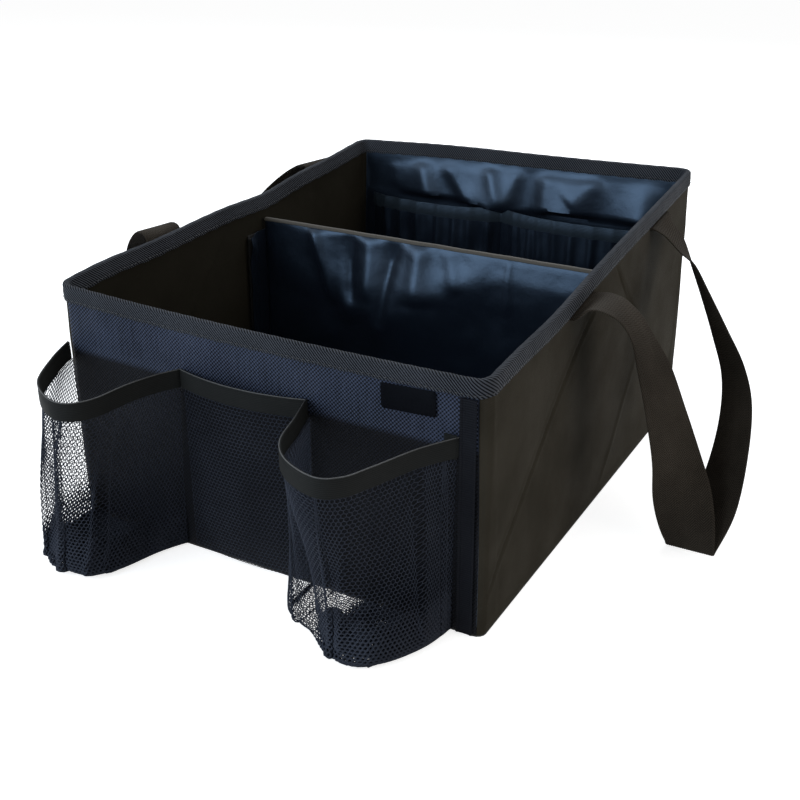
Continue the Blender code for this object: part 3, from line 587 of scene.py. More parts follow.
def ring_points(place, side, up, count):
    """Points round a place, side and up being the radius both ways."""
    angles = [2 * math.pi * n / count for n in range(count)]
    return [place + side * math.cos(a) + up * math.sin(a) for a in angles]


def tube(rings, first):
    """Faces of a closed tube of rings, the first of its points having that number."""
    count = len(rings[0])
    faces = []
    for k in range(len(rings) - 1):
        a, b = first + k * count, first + (k + 1) * count
        for n in range(count):
            m = (n + 1) % count
            faces.append((a + n, a + m, b + m, b + n))
    last = first + (len(rings) - 1) * count
    return faces + [tuple(range(start, start + count)) for start in (first, last)]


def stitches(name, seams, finish, slot, measures):
    """Thread stitches along seams, small arched bars. A seam is a list of (point, outward normal)."""
    length, pitch, radius = measures
    verts, faces = [], []
    for seam in seams:
        points = [p for p, _ in seam]
        run = arc_lengths(points)
        for n in range(int(run[-1] / pitch)):
            rings = []
            for share, lift, size in STITCH_ARCH:
                k, t = located(run, (n + 0.5) * pitch + (share - 0.5) * length)
                normal = seam[k][1]
                side = (points[k + 1] - points[k]).cross(normal).normalized()
                place = points[k].lerp(points[k + 1], t) + normal * radius * lift
                rings.append(ring_points(place, side * radius * size, normal * radius * size, STITCH_SIDES))
            faces += tube(rings, len(verts))
            verts += [p for ring in rings for p in ring]
    return dress(name, new_mesh(name, verts, faces), finish, slot=slot, smooth_angle=STITCH_ANGLE)


def cord(name, path, radius, finish, slot):
    """A round cord along a line of points."""
    rings = []
    for k, p in enumerate(path):
        along = (path[min(k + 1, len(path) - 1)] - path[max(k - 1, 0)]).normalized()
        side = along.cross(Vector((0, 0, 1))).normalized()
        rings.append(ring_points(p, side * radius, side.cross(along) * radius, CORD_SIDES))
    mesh = new_mesh(name, [p for ring in rings for p in ring], tube(rings, 0))
    return dress(name, mesh, finish, slot=slot, smooth_angle=CORD_ANGLE)


# Materials

# Painted reflection colour: a blue Specular Tint on the glossy lining and inner band that stands in for
# bluish light in their reflections
PAINTED_BLUE_SHEEN = (0.44, 0.67, 1.0)
# Fabrics: material, darkest and lightest colour, roughness, weave, thread pitch and relief, and the rest
FABRICS = {
    "front": (
        "front_oxford", (0.001, 0.002, 0.004), (0.046, 0.059, 0.098), 0.62, "plain", 0.0025, 0.00034,
        # Painted shade: the front cloth's colour drops to 0.12 of itself below the nets' top and past the
        # edge tape near its right end
        {"gloss": 0.10, "slub": 0.8, "crisp": 2.2, "painted_net_shade": (NET_TOP, WIDTH - 0.0075, 0.12)},
    ),
    "side": (
        "side_cloth", (0.022, 0.0195, 0.0148), (0.050, 0.0445, 0.0345), 0.62, "plain", 0.0011, 0.00010,
        {"gloss": 0.006, "wrinkle": 0.35},
    ),
    "lining": (
        "nylon_lining", (0.0025, 0.0035, 0.006), (0.005, 0.007, 0.012), 0.37, "plain", 0.0008, 0.00003,
        {"gloss": 0.66, "wrinkle": 0.45, "tint": PAINTED_BLUE_SHEEN},
    ),
    "side_lining": (
        "side_lining", (0.012, 0.011, 0.008), (0.026, 0.0235, 0.018), 0.55, "plain", 0.0008, 0.00003,
        {"gloss": 0.03, "wrinkle": 0.45},
    ),
    "binding": (
        "twill_binding", (0.002, 0.0024, 0.0035), (0.060, 0.066, 0.079), 0.66, "twill", 0.0021, 0.00040,
        {"gloss": 0.05, "crisp": 1.8},
    ),
    "band": (
        "pocket_band", (0.0095, 0.0103, 0.0106), (0.0185, 0.0195, 0.0190), 0.6, "ribs", 0.0011, 0.00006,
        {"gloss": 0.03},
    ),
    "inner_band": (
        "inner_band", (0.010, 0.014, 0.018), (0.020, 0.027, 0.034), 0.45, "ribs", 0.0011, 0.00006,
        {"gloss": 0.4, "tint": PAINTED_BLUE_SHEEN},
    ),
    "edge_tape": (
        "edge_tape", (0.0055, 0.0062, 0.0085), (0.014, 0.015, 0.019), 0.6, "ribs", 0.0014, 0.0001,
        {"gloss": 0.03},
    ),
    "net": (
        "net_thread", (0.012, 0.014, 0.020), (0.046, 0.054, 0.075), 0.55, "plain", 0.0008, 0.00005,
        {"gloss": 0.05},
    ),
    "webbing": (
        "handle_webbing", (0.010, 0.0082, 0.0063), (0.052, 0.0435, 0.0345), 0.6, "herringbone", 0.0018,
        0.00018, {"gloss": 0.03},
    ),
    "label": (
        "label_weave", (0.003, 0.0034, 0.0045), (0.009, 0.010, 0.013), 0.6, "ribs", 0.0006, 0.00008, {},
    ),
}
# Mottled surfaces: material, darkest and lightest colour, roughness, patches to a metre, depth of the grain
SURFACES = {
    "tape": ("hook_tape", (0.004, 0.004, 0.005), (0.012, 0.012, 0.013), 0.85, 60, 0.0003),
    "thread": ("sewing_thread", (0.006, 0.0065, 0.008), (0.022, 0.024, 0.029), 0.5, 800, 0.00005),
    "bead": ("band_bead", (0.022, 0.0235, 0.025), (0.050, 0.053, 0.056), 0.6, 800, 0.00005),
    "board": ("board", (0.03, 0.03, 0.03), (0.06, 0.06, 0.06), 0.8, 60, 0.0003),
    "under": ("base_cloth", (0.006, 0.006, 0.006), (0.016, 0.0155, 0.0145), 0.75, 300, 0.0002),
    "divider_edge": ("divider_edge", (0.018, 0.0155, 0.011), (0.042, 0.036, 0.027), 0.7, 500, 0.00008),
}
USUAL_WRINKLE = 0.25
USUAL_CRISP = 0.6
NOISE_ROUGHNESS = 0.55
# Fabric patterns: noise scale and detail
PATCHES = (22, 4)
FIBRES = (900, 2)
STREAKS = (1.0, 3)
SOFT_WRINKLES = (110, 3)
PATCH_RANGE = (0.35, 0.68)
# Streaks of uneven thread to a metre, along and across it
STREAK_STRETCH = (520, 34)
TONE_BASE = 0.3
PATCH_TONE = 0.35
FIBRE_TONE = 0.35
PATCH_POLISH = 0.10
# Bumps: depth and strength
THREAD_STRENGTH = 0.7
FIBRE_BUMP = (0.00008, 0.35)
WRINKLE_DEPTH = 0.0006
# How soon the painted shade under the nets and past the edge tape ends
PAINTED_SHADE_FADE = (0.004, -0.001)
HERRINGBONE_ROWS = 3
# Mottled surfaces: detail and range of the patches, how far they change the roughness, and the grain
MOTTLE_DETAIL = 4
MOTTLE_RANGE = (0.3, 0.7)
MOTTLE_POLISH = 0.2
GRAIN = (14, 2, 0.5)


class Nodes:
    """Small helper to wire a material's nodes."""

    def __init__(self, name):
        self.material = bpy.data.materials.new(name)
        self.material.use_nodes = True
        self.tree = self.material.node_tree
        self.shader = self.tree.nodes["Principled BSDF"]

    def put(self, node, key, value):
        if isinstance(value, bpy.types.NodeSocket):
            self.tree.links.new(value, node.inputs[key])
        else:
            node.inputs[key].default_value = value

    def add(self, kind, inputs=None, **settings):
        node = self.tree.nodes.new(kind)
        for key, value in settings.items():
            setattr(node, key, value)
        for key, value in (inputs or {}).items():
            self.put(node, key, value)
        return node

    def math(self, operation, a, b=0.0, c=0.0):
        return self.add("ShaderNodeMath", {0: a, 1: b, 2: c}, operation=operation).outputs[0]

    def noise(self, scale, detail, vector=None):
        inputs = {"Scale": scale, "Detail": detail, "Roughness": NOISE_ROUGHNESS}
        inputs["Vector"] = vector or self.place()
        return self.add("ShaderNodeTexNoise", inputs).outputs["Fac"]

    def place(self):
        return self.add("ShaderNodeTexCoord").outputs["Object"]

    def map(self):
        cloth_map = self.add("ShaderNodeUVMap", uv_map="cloth")
        split = self.add("ShaderNodeSeparateXYZ", {0: cloth_map.outputs[0]})
        return split.outputs[0], split.outputs[1]

    def ramp(self, value, low, high):
        return self.add("ShaderNodeMapRange", {0: value, 1: low, 2: high, 3: 0.0, 4: 1.0}).outputs[0]

    def mix(self, share, dark, light):
        """A colour between two, each a plain colour or a socket."""
        node = self.add("ShaderNodeMix", {0: share}, data_type="RGBA")
        for place, colour in ((6, dark), (7, light)):
            self.put(node, place, (*colour, 1) if isinstance(colour, tuple) else colour)
        return node.outputs[2]

    def link(self, socket, name):
        self.tree.links.new(socket, self.shader.inputs[name])

    def relief(self, *layers):
        """Chains bumps: each layer is (height, distance in metres, strength)."""
        normal = None
        for height, distance, strength in layers:
            inputs = {"Height": height, "Distance": distance, "Strength": strength}
            if normal:
                inputs["Normal"] = normal
            normal = self.add("ShaderNodeBump", inputs).outputs[0]
        self.link(normal, "Normal")


def weave(n, style, pitch):
    """Height of a weave, 0 to 1, from the cloth's map: plain, ribs across its second way, or slanting."""
    u, v = n.map()
    turn = 2 * math.pi / pitch

    def wave(way):
        return n.math("SINE", n.math("MULTIPLY", way, turn))

    if style == "plain":
        return n.math("MULTIPLY_ADD", n.math("MULTIPLY", wave(u), wave(v)), 0.5, 0.5)
    if style == "herringbone":
        v = n.math("PINGPONG", v, pitch * HERRINGBONE_ROWS)
    return n.math("MULTIPLY_ADD", wave(v if style == "ribs" else n.math("ADD", u, v)), 0.5, 0.5)


def fabric(name, dark, light, roughness, style, pitch, depth, extra):
    """Woven cloth: thread relief, streaks of uneven thread, patches of wear, and a painted shade under the
    nets.
    """
    n = Nodes(name)
    threads = weave(n, style, pitch)
    patches = n.ramp(n.noise(*PATCHES), *PATCH_RANGE)
    fibres = n.noise(*FIBRES)
    u, v = n.map()
    stretched = {k: n.math("MULTIPLY", way, by) for k, (way, by) in enumerate(zip((u, v), STREAK_STRETCH))}
    streaks = n.noise(*STREAKS, n.add("ShaderNodeCombineXYZ", stretched).outputs[0])
    crisp = extra.get("crisp", USUAL_CRISP)
    tone = n.math("MULTIPLY_ADD", n.math("SUBTRACT", threads, 0.5), crisp, TONE_BASE)
    tone = n.math("MULTIPLY_ADD", patches, PATCH_TONE, tone)
    tone = n.math("MULTIPLY_ADD", n.math("SUBTRACT", fibres, 0.5), FIBRE_TONE, tone)
    tone = n.math("MULTIPLY_ADD", n.math("SUBTRACT", streaks, 0.5), extra.get("slub", 0.0), tone)
    colour = n.mix(tone, dark, light)
    # Painted shade: below the given height and past the given edge, the colour is darkened to the shade's
    # share of itself
    if "painted_net_shade" in extra:
        height, edge, shade = extra["painted_net_shade"]
        over, beside = PAINTED_SHADE_FADE
        seen = n.math("MULTIPLY", n.ramp(v, height, height + over), n.ramp(u, edge, edge + beside))
        colour = n.mix(n.math("MULTIPLY_ADD", seen, 1 - shade, shade), (0, 0, 0), colour)
    n.link(colour, "Base Color")
    n.link(n.math("MULTIPLY_ADD", patches, -PATCH_POLISH, roughness + PATCH_POLISH / 2), "Roughness")
    wrinkles = (n.noise(*SOFT_WRINKLES), WRINKLE_DEPTH, extra.get("wrinkle", USUAL_WRINKLE))
    n.relief((threads, depth, THREAD_STRENGTH), (fibres, *FIBRE_BUMP), wrinkles)
    n.shader.inputs["Specular IOR Level"].default_value = extra.get("gloss", 0.0)
    n.shader.inputs["Specular Tint"].default_value = (*extra.get("tint", (1, 1, 1)), 1)
    return n.material


def plain_surface(name, dark, light, roughness, scale, depth):
    """An even, slightly mottled surface for boards and tapes, placed by object coordinates."""
    n = Nodes(name)
    mottle = n.noise(scale, MOTTLE_DETAIL)
    n.link(n.mix(n.ramp(mottle, *MOTTLE_RANGE), dark, light), "Base Color")
    n.link(n.math("MULTIPLY_ADD", mottle, MOTTLE_POLISH, roughness - MOTTLE_POLISH / 2), "Roughness")
    finer, detail, strength = GRAIN
    n.relief((n.noise(scale * finer, detail), depth, strength))
    return n.material


def make_finishes():
    made = {key: fabric(*row) for key, row in FABRICS.items()}
    made.update((key, plain_surface(*row)) for key, row in SURFACES.items())
    return made


# Walls

PUCKER = 0.0003
PUCKER_REACH = 0.012
PUCKER_PITCH = 0.021
# Pressed creases: middle, height and width of each ridge beside them, a groove being negative
CREASE_PRESS = ((0.0030, 0.0007, 0.0018), (0, -0.0008, 0.0011))
LINING_PRESS = ((0, 0.0013, 0.0016), (0.009, 0.0007, 0.003))
CREASE_MIDDLE = (0.006, 0.02)
CREASE_FOOT = 0.012
STRIP_HEIGHT = 0.0005
STRIP_STEP = 0.0016
STRIP_LENGTH = 0.16
SIDE_FOLD = ((0.012, 0.012), (0.074, 0.084), 0.0022, 0.0010)
SIDE_HOLD = 0.008
# How soon a cloth's relief begins: below the top, above the foot, beside a seam
OUTER_TOP_HOLD = 1 / 12
OUTER_FOOT_HOLD = 1 / 20
SEAM_HOLD = 0.02
LINING_TOP_HOLD = 0.010
LINING_FOOT_HOLD = 0.012
LINING_SEAM_HOLD = 0.05
OUTER_LIMITS = (-0.0014, 0.0011)
OUTER_ROWS_HEIGHT = 0.18
LINING_ROWS_HEIGHT = 0.19
FRONT_LINING_SLACK = 0.0010
DIVIDER_HOLD = (0.026, 0.02)
# Rear lining: how far down its slack grows, how deep its swags are, its two ends, and the pocket's seam
REAR_SLACK_REACH = 0.035
REAR_SWAG_SHARE = 0.34
REAR_LEFT_END = (-0.125, 0.060)
REAR_RIGHT_END = (HALF_W - 0.010, 0.030)
REAR_SEAM_DIP = (POCKET_SEAM_X, 0.006, 0.03)
REAR_SEWN = 0.005
FLOOR_STEPS = (64, 80)
FLOOR_HOLD = 0.012
FLOOR_RISE = 0.0004
FLOOR_CLOTH = 0.0005
FLOOR_DIVIDER_HOLD = (0.006, 0.01)


def front_wrinkle(x, z):
    """Small standing-off of the front cloth: slow waves, and puckers under the rim binding."""
    below = max(0.0, rim_height(x, -HALF_D) - BINDING_HEIGHT - z)
    phase = 2 * math.pi * x / PUCKER_PITCH + waves("pucker", x, 0, 0)
    return waves("front", x, 0, z) + PUCKER * math.exp(-below / PUCKER_REACH) * math.sin(phase)


def side_wrinkle(side, y, z):
    """Fine relief of a side wall, outwards: pressed creases, the strips' edges, a fold and waves."""
    fade = ease(abs(y), *CREASE_MIDDLE) * smooth(z / CREASE_FOOT)
    crease = ridges(crease_distance(side, y, z), CREASE_PRESS) * fade
    top, foot = STRIP_EDGE
    edge = foot + (top - foot) * z / STRIP_LENGTH
    strip = STRIP_HEIGHT * smooth((abs(y) + edge) / STRIP_STEP)
    relief = crease + strip + fold(y, z, *SIDE_FOLD) + waves("side", side, y, z)
    return relief * smooth((HALF_D - abs(y)) / SIDE_HOLD)


def outer_relief(q, p):
    number = side_number(q)
    if number == 0:
        return front_wrinkle(p.x, p.z)
    if number == 2:
        return waves("rear", p.x, 0, p.z)
    return side_wrinkle(1 if number == 1 else -1, p.y, p.z)


def outer_point(q, share, inset):
    top = rim_at(q) - PANEL_RIM_DROP
    z = WALL_BOTTOM + (top - WALL_BOTTOM) * share
    p = wall(q, z, inset)
    turn = CORNER_TURN * PANEL_SEAM_TURN
    seam = min(abs((q % 2) - 1 - turn), abs((q % 2) - 1 + turn))
    hold = smooth((1 - share) / OUTER_TOP_HOLD) * smooth(share / OUTER_FOOT_HOLD) * smooth(seam / SEAM_HOLD)
    inward, out = OUTER_LIMITS
    return p + outward(q) * max(inward, min(out, outer_relief(q, p))) * hold


def rear_lining_folds(x, z):
    """The rear lining: it slopes out from the rim to the inner pocket's band, with a fan of soft folds."""
    below = (rim_height(x, HALF_D) - BINDING_HEIGHT - z) / REAR_SLACK_REACH
    start, pitch = REAR_SWAG
    swag = 1 - REAR_SWAG_SHARE + REAR_SWAG_SHARE * math.cos(2 * math.pi * (x - start) / pitch)
    end, over = REAR_RIGHT_END
    ends = ease(x, *REAR_LEFT_END) * smooth((end - x) / over)
    slope = REAR_SLACK * swag * ends * max(0.0, min(1.0, below))
    sewn = smooth((z - POCKET_TOP + ridges(x, [REAR_SEAM_DIP])) / REAR_SEWN)
    return (slope + folds(x, z, REAR_FOLDS) + waves("rear_lining", x, 0, z)) * sewn


def lining_wrinkle(q, p):
    """Folds of the lining into the box."""
    number = side_number(q)
    if number == 2:
        return rear_lining_folds(p.x, p.z)
    if number == 0:
        return FRONT_LINING_SLACK + waves("front_lining", p.x, 0, p.z)
    side = 1 if number == 1 else -1
    crease = ridges(crease_distance(side, p.y, p.z), LINING_PRESS) * ease(abs(p.y), *CREASE_MIDDLE)
    return (crease + waves("side_lining", side, p.y, p.z)) * ease(abs(p.y - DIVIDER_Y), *DIVIDER_HOLD)


def lining_point(q, share, into):
    rim = rim_at(q)
    z = FLOOR_LOW + (rim - PANEL_RIM_DROP - FLOOR_LOW) * share
    p = wall(q, z, lining_inset(rim - z) + into)
    hold = smooth((rim - BINDING_HEIGHT - z) / LINING_TOP_HOLD) * smooth((z - FLOOR_TOP) / LINING_FOOT_HOLD)
    turn = abs((q % 2) - 1)
    corner = 1 - smooth((CORNER_TURN - turn) / SEAM_HOLD)
    near = ease(turn, CORNER_TURN * PANEL_SEAM_TURN, LINING_SEAM_HOLD)
    return p - outward(q) * lining_wrinkle(q, p) * hold * corner * near


def wall_panel(name, node, ends, kind, step, finish, slot):
    """A closed sheet of a wall: its face and its back lie at two depths."""
    point, face, back, height = kind
    shares = steps(0, 1, int(height / step))
    grid = []
    for q in wall_columns(*ends, step):
        grid.append([point(q, s, face) for s in shares] + [point(q, s, back) for s in reversed(shares)])
    return make(name, grid, finish, [node], slot, cap=True)


def build_walls(f):
    seam = 1 - CORNER_TURN * PANEL_SEAM_TURN
    side = seam + CORNER_TURN * SEAM_GAP_TURN
    front, rear, right, left = (-seam, seam), (4 - seam, 4 + seam), (side, 4 - side), (4 + side, 8 - side)
    outer = (outer_point, 0, OUTER_CLOTH, OUTER_ROWS_HEIGHT)
    inner = (lining_point, LINING_CLOTH, 0, LINING_ROWS_HEIGHT)
    fine, coarse = CLOTH_STEP, COARSE_STEP
    # Piece, node, ends round the box, kind, mesh step, finish, slot, flat width and height
    rows = (
        ("front_cloth", "front_panel", front, outer, fine, "front", "front_cloth", WIDTH, 0.165),
        ("rear_cloth", "rear_panel", rear, outer, coarse, "side", "side_cloth", WIDTH, 0.197),
        ("side_cloth_right", "right_side_panel", right, outer, fine, "side", "side_cloth", DEPTH, 0.180),
        ("side_cloth_left", "left_side_panel", left, outer, fine, "side", "side_cloth", DEPTH, 0.178),
        ("lining_front", "front_lining", front, inner, coarse, "lining", "lining_cloth", WIDTH, 0.162),
        ("lining_rear", "rear_lining", rear, inner, fine, "lining", "lining_cloth", WIDTH, 0.194),
        ("lining_right", "right_lining", right, inner, coarse, "side_lining", "lining_cloth", DEPTH, 0.177),
        ("lining_left", "left_lining", left, inner, coarse, "side_lining", "lining_cloth", DEPTH, 0.175),
    )
    made = {}
    for name, node, ends, kind, step, finish, slot, wide, high in rows:
        piece = wall_panel(name, node, ends, kind, step, f[finish], slot)
        made[name] = piece
    return {1: made["side_cloth_right"], -1: made["side_cloth_left"]}


def build_floor(f):
    half_w, half_d = HALF_W - INNER_INSET - GAP, HALF_D - INNER_INSET - GAP
    xs, ys = (steps(-half, half, count) for half, count in zip((half_w, half_d), FLOOR_STEPS))

    def top(x, y):
        edge = smooth((half_w - abs(x)) / FLOOR_HOLD) * smooth((half_d - abs(y)) / FLOOR_HOLD)
        near = ease(abs(y - DIVIDER_Y), *FLOOR_DIVIDER_HOLD)
        rise = (FLOOR_RISE + waves("floor", x, y, 0)) * edge * near
        return Vector((x, y, FLOOR_TOP - FLOOR_RISE + rise))

    made = cloth("floor_cloth", xs, ys, top, FLOOR_CLOTH, f["lining"], ["floor_lining"], "lining_cloth")


# Once round the walls
ALL_ROUND = (-0.5, 7.5)
# Rim ribbon: insets of its outside, of the box's top and of the lining inside it, and its flat roof
RIM_OUT = -GAP - BINDING_CLOTH
RIM_TOP_GAP = CORE_INSET + LINING_CLOTH + GAP + 0.0002
RIM_LOW_GAP = INNER_INSET + GAP
RIM_ROOF = PANEL_RIM_DROP - 0.0004
RIM_CROWN = 0.0014
RIM_EDGE_TURN = 0.0002
# Swells of its outside and its inside, and how far below the rim each one lies
RIM_OUTSIDE = ((0.0001, 0.0085), (0.0002, 0.0055), (0, 0.0028))
RIM_INSIDE = ((0.0002, 0.0035), (0.0005, 0.0060), (0, 0.0088))
RIM_CROWN_STEPS = 8
RIM_STEP = 0.0022
RIM_RUN = 40
RIM_WAVE = 0.00018
RIM_WAVE_TURN = 1.9
# Drops past which the ribbon's outside and its edge wave, and how much its crown and its edge do
RIM_WAVE_DROP = 0.003
RIM_EDGE_DROP = 0.01
RIM_CROWN_SHARE = 0.5
RIM_EDGE_SHARE = 1.6
# Stitches of the rim: drop, inset, and which way they face
RIM_SEAMS = ((0.0090, RIM_OUT - 0.00018, 1), (0.0090, RIM_LOW_GAP + BINDING_CLOTH + 0.00012, -1))


def binding_section():
    """The ribbon's section as insets and drops below the rim: outside, over the crown, and back inside."""
    far, near = RIM_TOP_GAP + BINDING_CLOTH, RIM_LOW_GAP + BINDING_CLOTH
    middle, half = (RIM_OUT + far) / 2, (far - RIM_OUT) / 2
    edge = BINDING_HEIGHT - RIM_EDGE_TURN
    section = [(RIM_OUT, edge)] + [(RIM_OUT - swell, drop) for swell, drop in RIM_OUTSIDE]
    for a in steps(0, math.pi, RIM_CROWN_STEPS):
        section.append((middle - half * math.cos(a), RIM_CROWN - RIM_CROWN * math.sin(a)))
    inside = zip((far, (far + near) / 2, near), RIM_INSIDE)
    section += [(face + swell, drop) for face, (swell, drop) in inside] + [(near, edge)]
    section += [(RIM_LOW_GAP, BINDING_HEIGHT), ((RIM_TOP_GAP + RIM_LOW_GAP) / 2 + GAP, BINDING_HEIGHT / 2)]
    return section + [(RIM_TOP_GAP, RIM_ROOF), (-GAP, RIM_ROOF), (-GAP, BINDING_HEIGHT)]


def binding_point(q, inset, drop):
    run = q * RIM_RUN
    wave = RIM_WAVE * math.sin(run * RIM_WAVE_TURN + waves("rim_phase", run, 0, 0)) + waves("rim", run, 0, 0)
    outer = drop > RIM_WAVE_DROP and inset < -GAP
    p = wall(q, rim_at(q) - drop, inset - (max(0, wave) if outer else 0))
    return p + Vector((0, 0, wave * (RIM_EDGE_SHARE if drop > RIM_EDGE_DROP else RIM_CROWN_SHARE)))


def build_binding(f):
    """The ribbon over the rim, with a full rounded fold at the top, and its row of stitches."""
    around = wall_columns(*ALL_ROUND, RIM_STEP)[:-1]
    section = binding_section()
    grid = [[binding_point(q, inset, drop) for inset, drop in section] for q in around]
    made = make("rim_ribbon", grid, f["binding"], ["rim_binding"], "binding", close_i=True)
    seams = []
    for drop, inset, sign in RIM_SEAMS:
        line = around + around[:1]
        seams.append([(binding_point(q, inset, drop), outward(q, RIM_CORNER_RADIUS) * sign) for q in line])
    stitches("rim_stitches", seams, f["thread"], "binding", STITCH)


# Net pockets

NET_LOWEST = 0.0017
NET_STAND = GAP + NET_THREAD * 0.8
# How soon the nets' folds begin beside a seam and below the band, and a pleat grows
NET_SIDE_HOLD = 1 / 8
NET_TOP_HOLD = 1 / 6
PLEAT_GROWTH = 0.15
SLACK_REACH = 0.02
ROLL_END = 0.10
GATHER_BESIDE = 0.012
FINE_STEPS = 960
# Where and in how many steps a net's width and height are measured
GAUGE_DOWN = 0.3
GAUGE_ACROSS = 0.5
GAUGE_STEPS = (300, 60, 80)
BAND_STEPS = (110, 46, 120)
BAND_STAND = 0.0004
# Section of the band over the nets: thickness as a share of its half, and height above its foot
BAND_SECTION = (
    (1.00, 0.0000), (1.12, 0.0030), (1.10, 0.0080), (0.95, 0.0093),
    (0.78, 0.0098), (1.05, 0.0104), (1.00, 0.0112), (0.55, 0.0119),
)
BAND_WAVE_FADE = (0.01, 0.2)
# Bead along the band's top: its radius, where it lies, and how much it waves
BEAD = 0.00032
BEAD_SHARE = 0.75
BEAD_DROP = 0.0001
BEAD_WAVE = 0.2
# Folded end of the band: from and to before the seam, how far it passes the band, and its steps
TAB_SPAN = (0.0078, 0.0004)
TAB_OVER = 0.0012
TAB_STEPS = (10, 16)
TAB_CROWN = (-0.0024, 0.0006, 0.0009)
TAB_STAND = GAP + NET_BAND_CLOTH + 0.0014
TAB_CLOTH = 0.0008
TAPE_RIDGES = ((0.05, 0.0007, 0.055), (0.22, 0.0003, 0.055), (0.94, 0.0004, 0.055))
TAPE_STEPS = (26, 60)
TAPE_STAND = GAP + 0.0008
TAPE_CLOTH = 0.0007


def front_face_y(x):
    return wall(front_q(x), NET_BAND_TOP, 0).y


def plan_point(plan, seams, share):
    at = spline([Vector(p) for p in plan], share * (len(plan) - 1))
    return seams[0] + (seams[1] - seams[0]) * at.x, max(at.y, 0.0)


def bottle_plan(seams, band, floor):
    def point(share, down):
        (x0, reach0), (x1, reach1) = plan_point(band, seams, share), plan_point(floor, seams, share)
        return x0 + (x1 - x0) * down, reach0 + (reach1 - reach0) * down

    return point


def flat_plan(share, _down):
    x = NET_SEAMS[1] + (NET_SEAMS[2] - NET_SEAMS[1]) * share
    return x, FLAT_POCKET_REACH * 4 * share * (1 - share)


def profile_at(profile, share):
    at = spline([Vector(p) for p in profile], share * (len(profile) - 1))
    return at.x, at.y, max(at.z, NET_LOWEST)


def even_shares(point, count):
    """Shares at even distances along a curve."""
    run = arc_lengths([point(k / FINE_STEPS) for k in range(FINE_STEPS + 1)])
    return [sum(located(run, run[-1] * n / count)) / FINE_STEPS for n in range(count + 1)]


def net_folds(share, down, rows):
    """How far a net is pushed in or out by its broad folds."""
    hold = smooth(share / NET_SIDE_HOLD) * smooth((1 - share) / NET_SIDE_HOLD) * smooth(down / NET_TOP_HOLD)
    return folds(share, down, rows) * hold


def pleated(share, down, pleats):
    """Where a share of a net's own width lies along its pocket, and how far its pleats stand off there."""
    along, off = share, 0.0
    for at, half, push, depth, start in pleats:
        u = (share - at) / half
        if abs(u) < 1:
            grown = ease(down, start, PLEAT_GROWTH)
            along += push * grown * math.sin(math.pi * u)
            off += depth * grown * (1 - u * u) ** 2
    return along, off


def net_surface(plan, profile, base, rows, pleats, roll):
    """The place of a net's cloth by its share across and down; its roll begins at the base share down."""
    start, end = plan(0, 0)[0], plan(1, 0)[0]
    low, high = roll

    def surface(share, down):
        turn, scale, z = profile_at(profile, down)
        share, off = pleated(share, down, pleats)
        x, reach = plan(max(0.0, min(1.0, share)), turn)
        if down > base:
            rise = (z - NET_FLOOR) * (1 + waves("net_roll", share, 0, 0))
            z = NET_FLOOR + rise * ease(share, low, ROLL_END) * smooth((high - share) / ROLL_END)
        x += NET_EDGE * (1 - 2 * share)
        slack = (net_folds(share, down, rows) + off) * min(1.0, reach / SLACK_REACH)
        stand = max(reach * scale + slack, 0.0)
        return Vector((x, front_face_y(max(start, min(end, x))) - NET_STAND - stand, z))

    return surface


def honeycomb(width, height):
    """Corners, as distances across and down a cloth, and cells of a honeycomb that lies slanting on it."""
    half, row = NET_CELL * math.sqrt(3) / 2, NET_CELL * 3 / 2
    cosine, sine = math.cos(math.radians(NET_TURN)), math.sin(math.radians(NET_TURN))
    reach = math.hypot(width, height)
    columns, rows = int(reach / half), int(reach / row)
    places, corners, cells = {}, [], []

    def turned(x, y):
        return x * cosine - y * sine, x * sine + y * cosine

    def corner(c, r):
        if (c, r) not in places:
            s, t = turned(c * half, (r + (NET_SLANT if (c + r) % 2 else -NET_SLANT) / 2) * row)
            places[c, r] = len(corners)
            corners.append((min(max(s, 0.0), width), min(max(t, 0.0), height)))
        return places[c, r]

    for r in range(-rows, rows):
        for c in range(-columns, columns):
            s, t = turned((c + 1) * half, (r + 0.5) * row)
            if (c + r) % 2 and 0 < s < width and 0 < t < height:
                ring = ((c, r), (c + 1, r), (c + 2, r), (c + 2, r + 1), (c + 1, r + 1), (c, r + 1))
                cells.append(([corner(*one) for one in ring], s / width, t / height))
    return corners, cells


def between(values, share):
    """A value between those of an even list, by a share from 0 to 1 along it."""
    at = share * (len(values) - 1)
    k = min(int(at), len(values) - 2)
    return values[k] + (values[k + 1] - values[k]) * (at - k)


def build_net(name, node, surface, base, roll, gather_x, flat, f):
    """A knitted net: a honeycomb of threads over the pocket's surface, evenly spaced both ways."""
    across_steps, down_steps, down_shares = GAUGE_STEPS
    width = arc_lengths([surface(s, GAUGE_DOWN) for s in steps(0, 1, across_steps)])[-1]
    height = arc_lengths([surface(GAUGE_ACROSS, d) for d in steps(0, 1, down_steps)])[-1]
    shares = even_shares(lambda s: surface(s, GAUGE_DOWN), across_steps)
    downs = even_shares(lambda d: surface(GAUGE_ACROSS, d), down_shares)
    corners, cells = honeycomb(width, height)
    verts = [surface(between(shares, s / width), between(downs, t / height)) for s, t in corners]
    faces = []
    for ring, across, down in cells:
        if between(downs, down) < base or roll[0] < between(shares, across) < roll[1]:
            faces.append(ring)
    solid = threads_of(name, verts, faces, gather_x)
    made = dress(name, solid, f["net"], [node], "net", smooth_angle=EVERY_ANGLE)


def settled_mesh(thing):
    """The mesh that an object's modifiers make."""
    bpy.context.view_layer.update()
    return bpy.data.meshes.new_from_object(thing.evaluated_get(bpy.context.evaluated_depsgraph_get()))


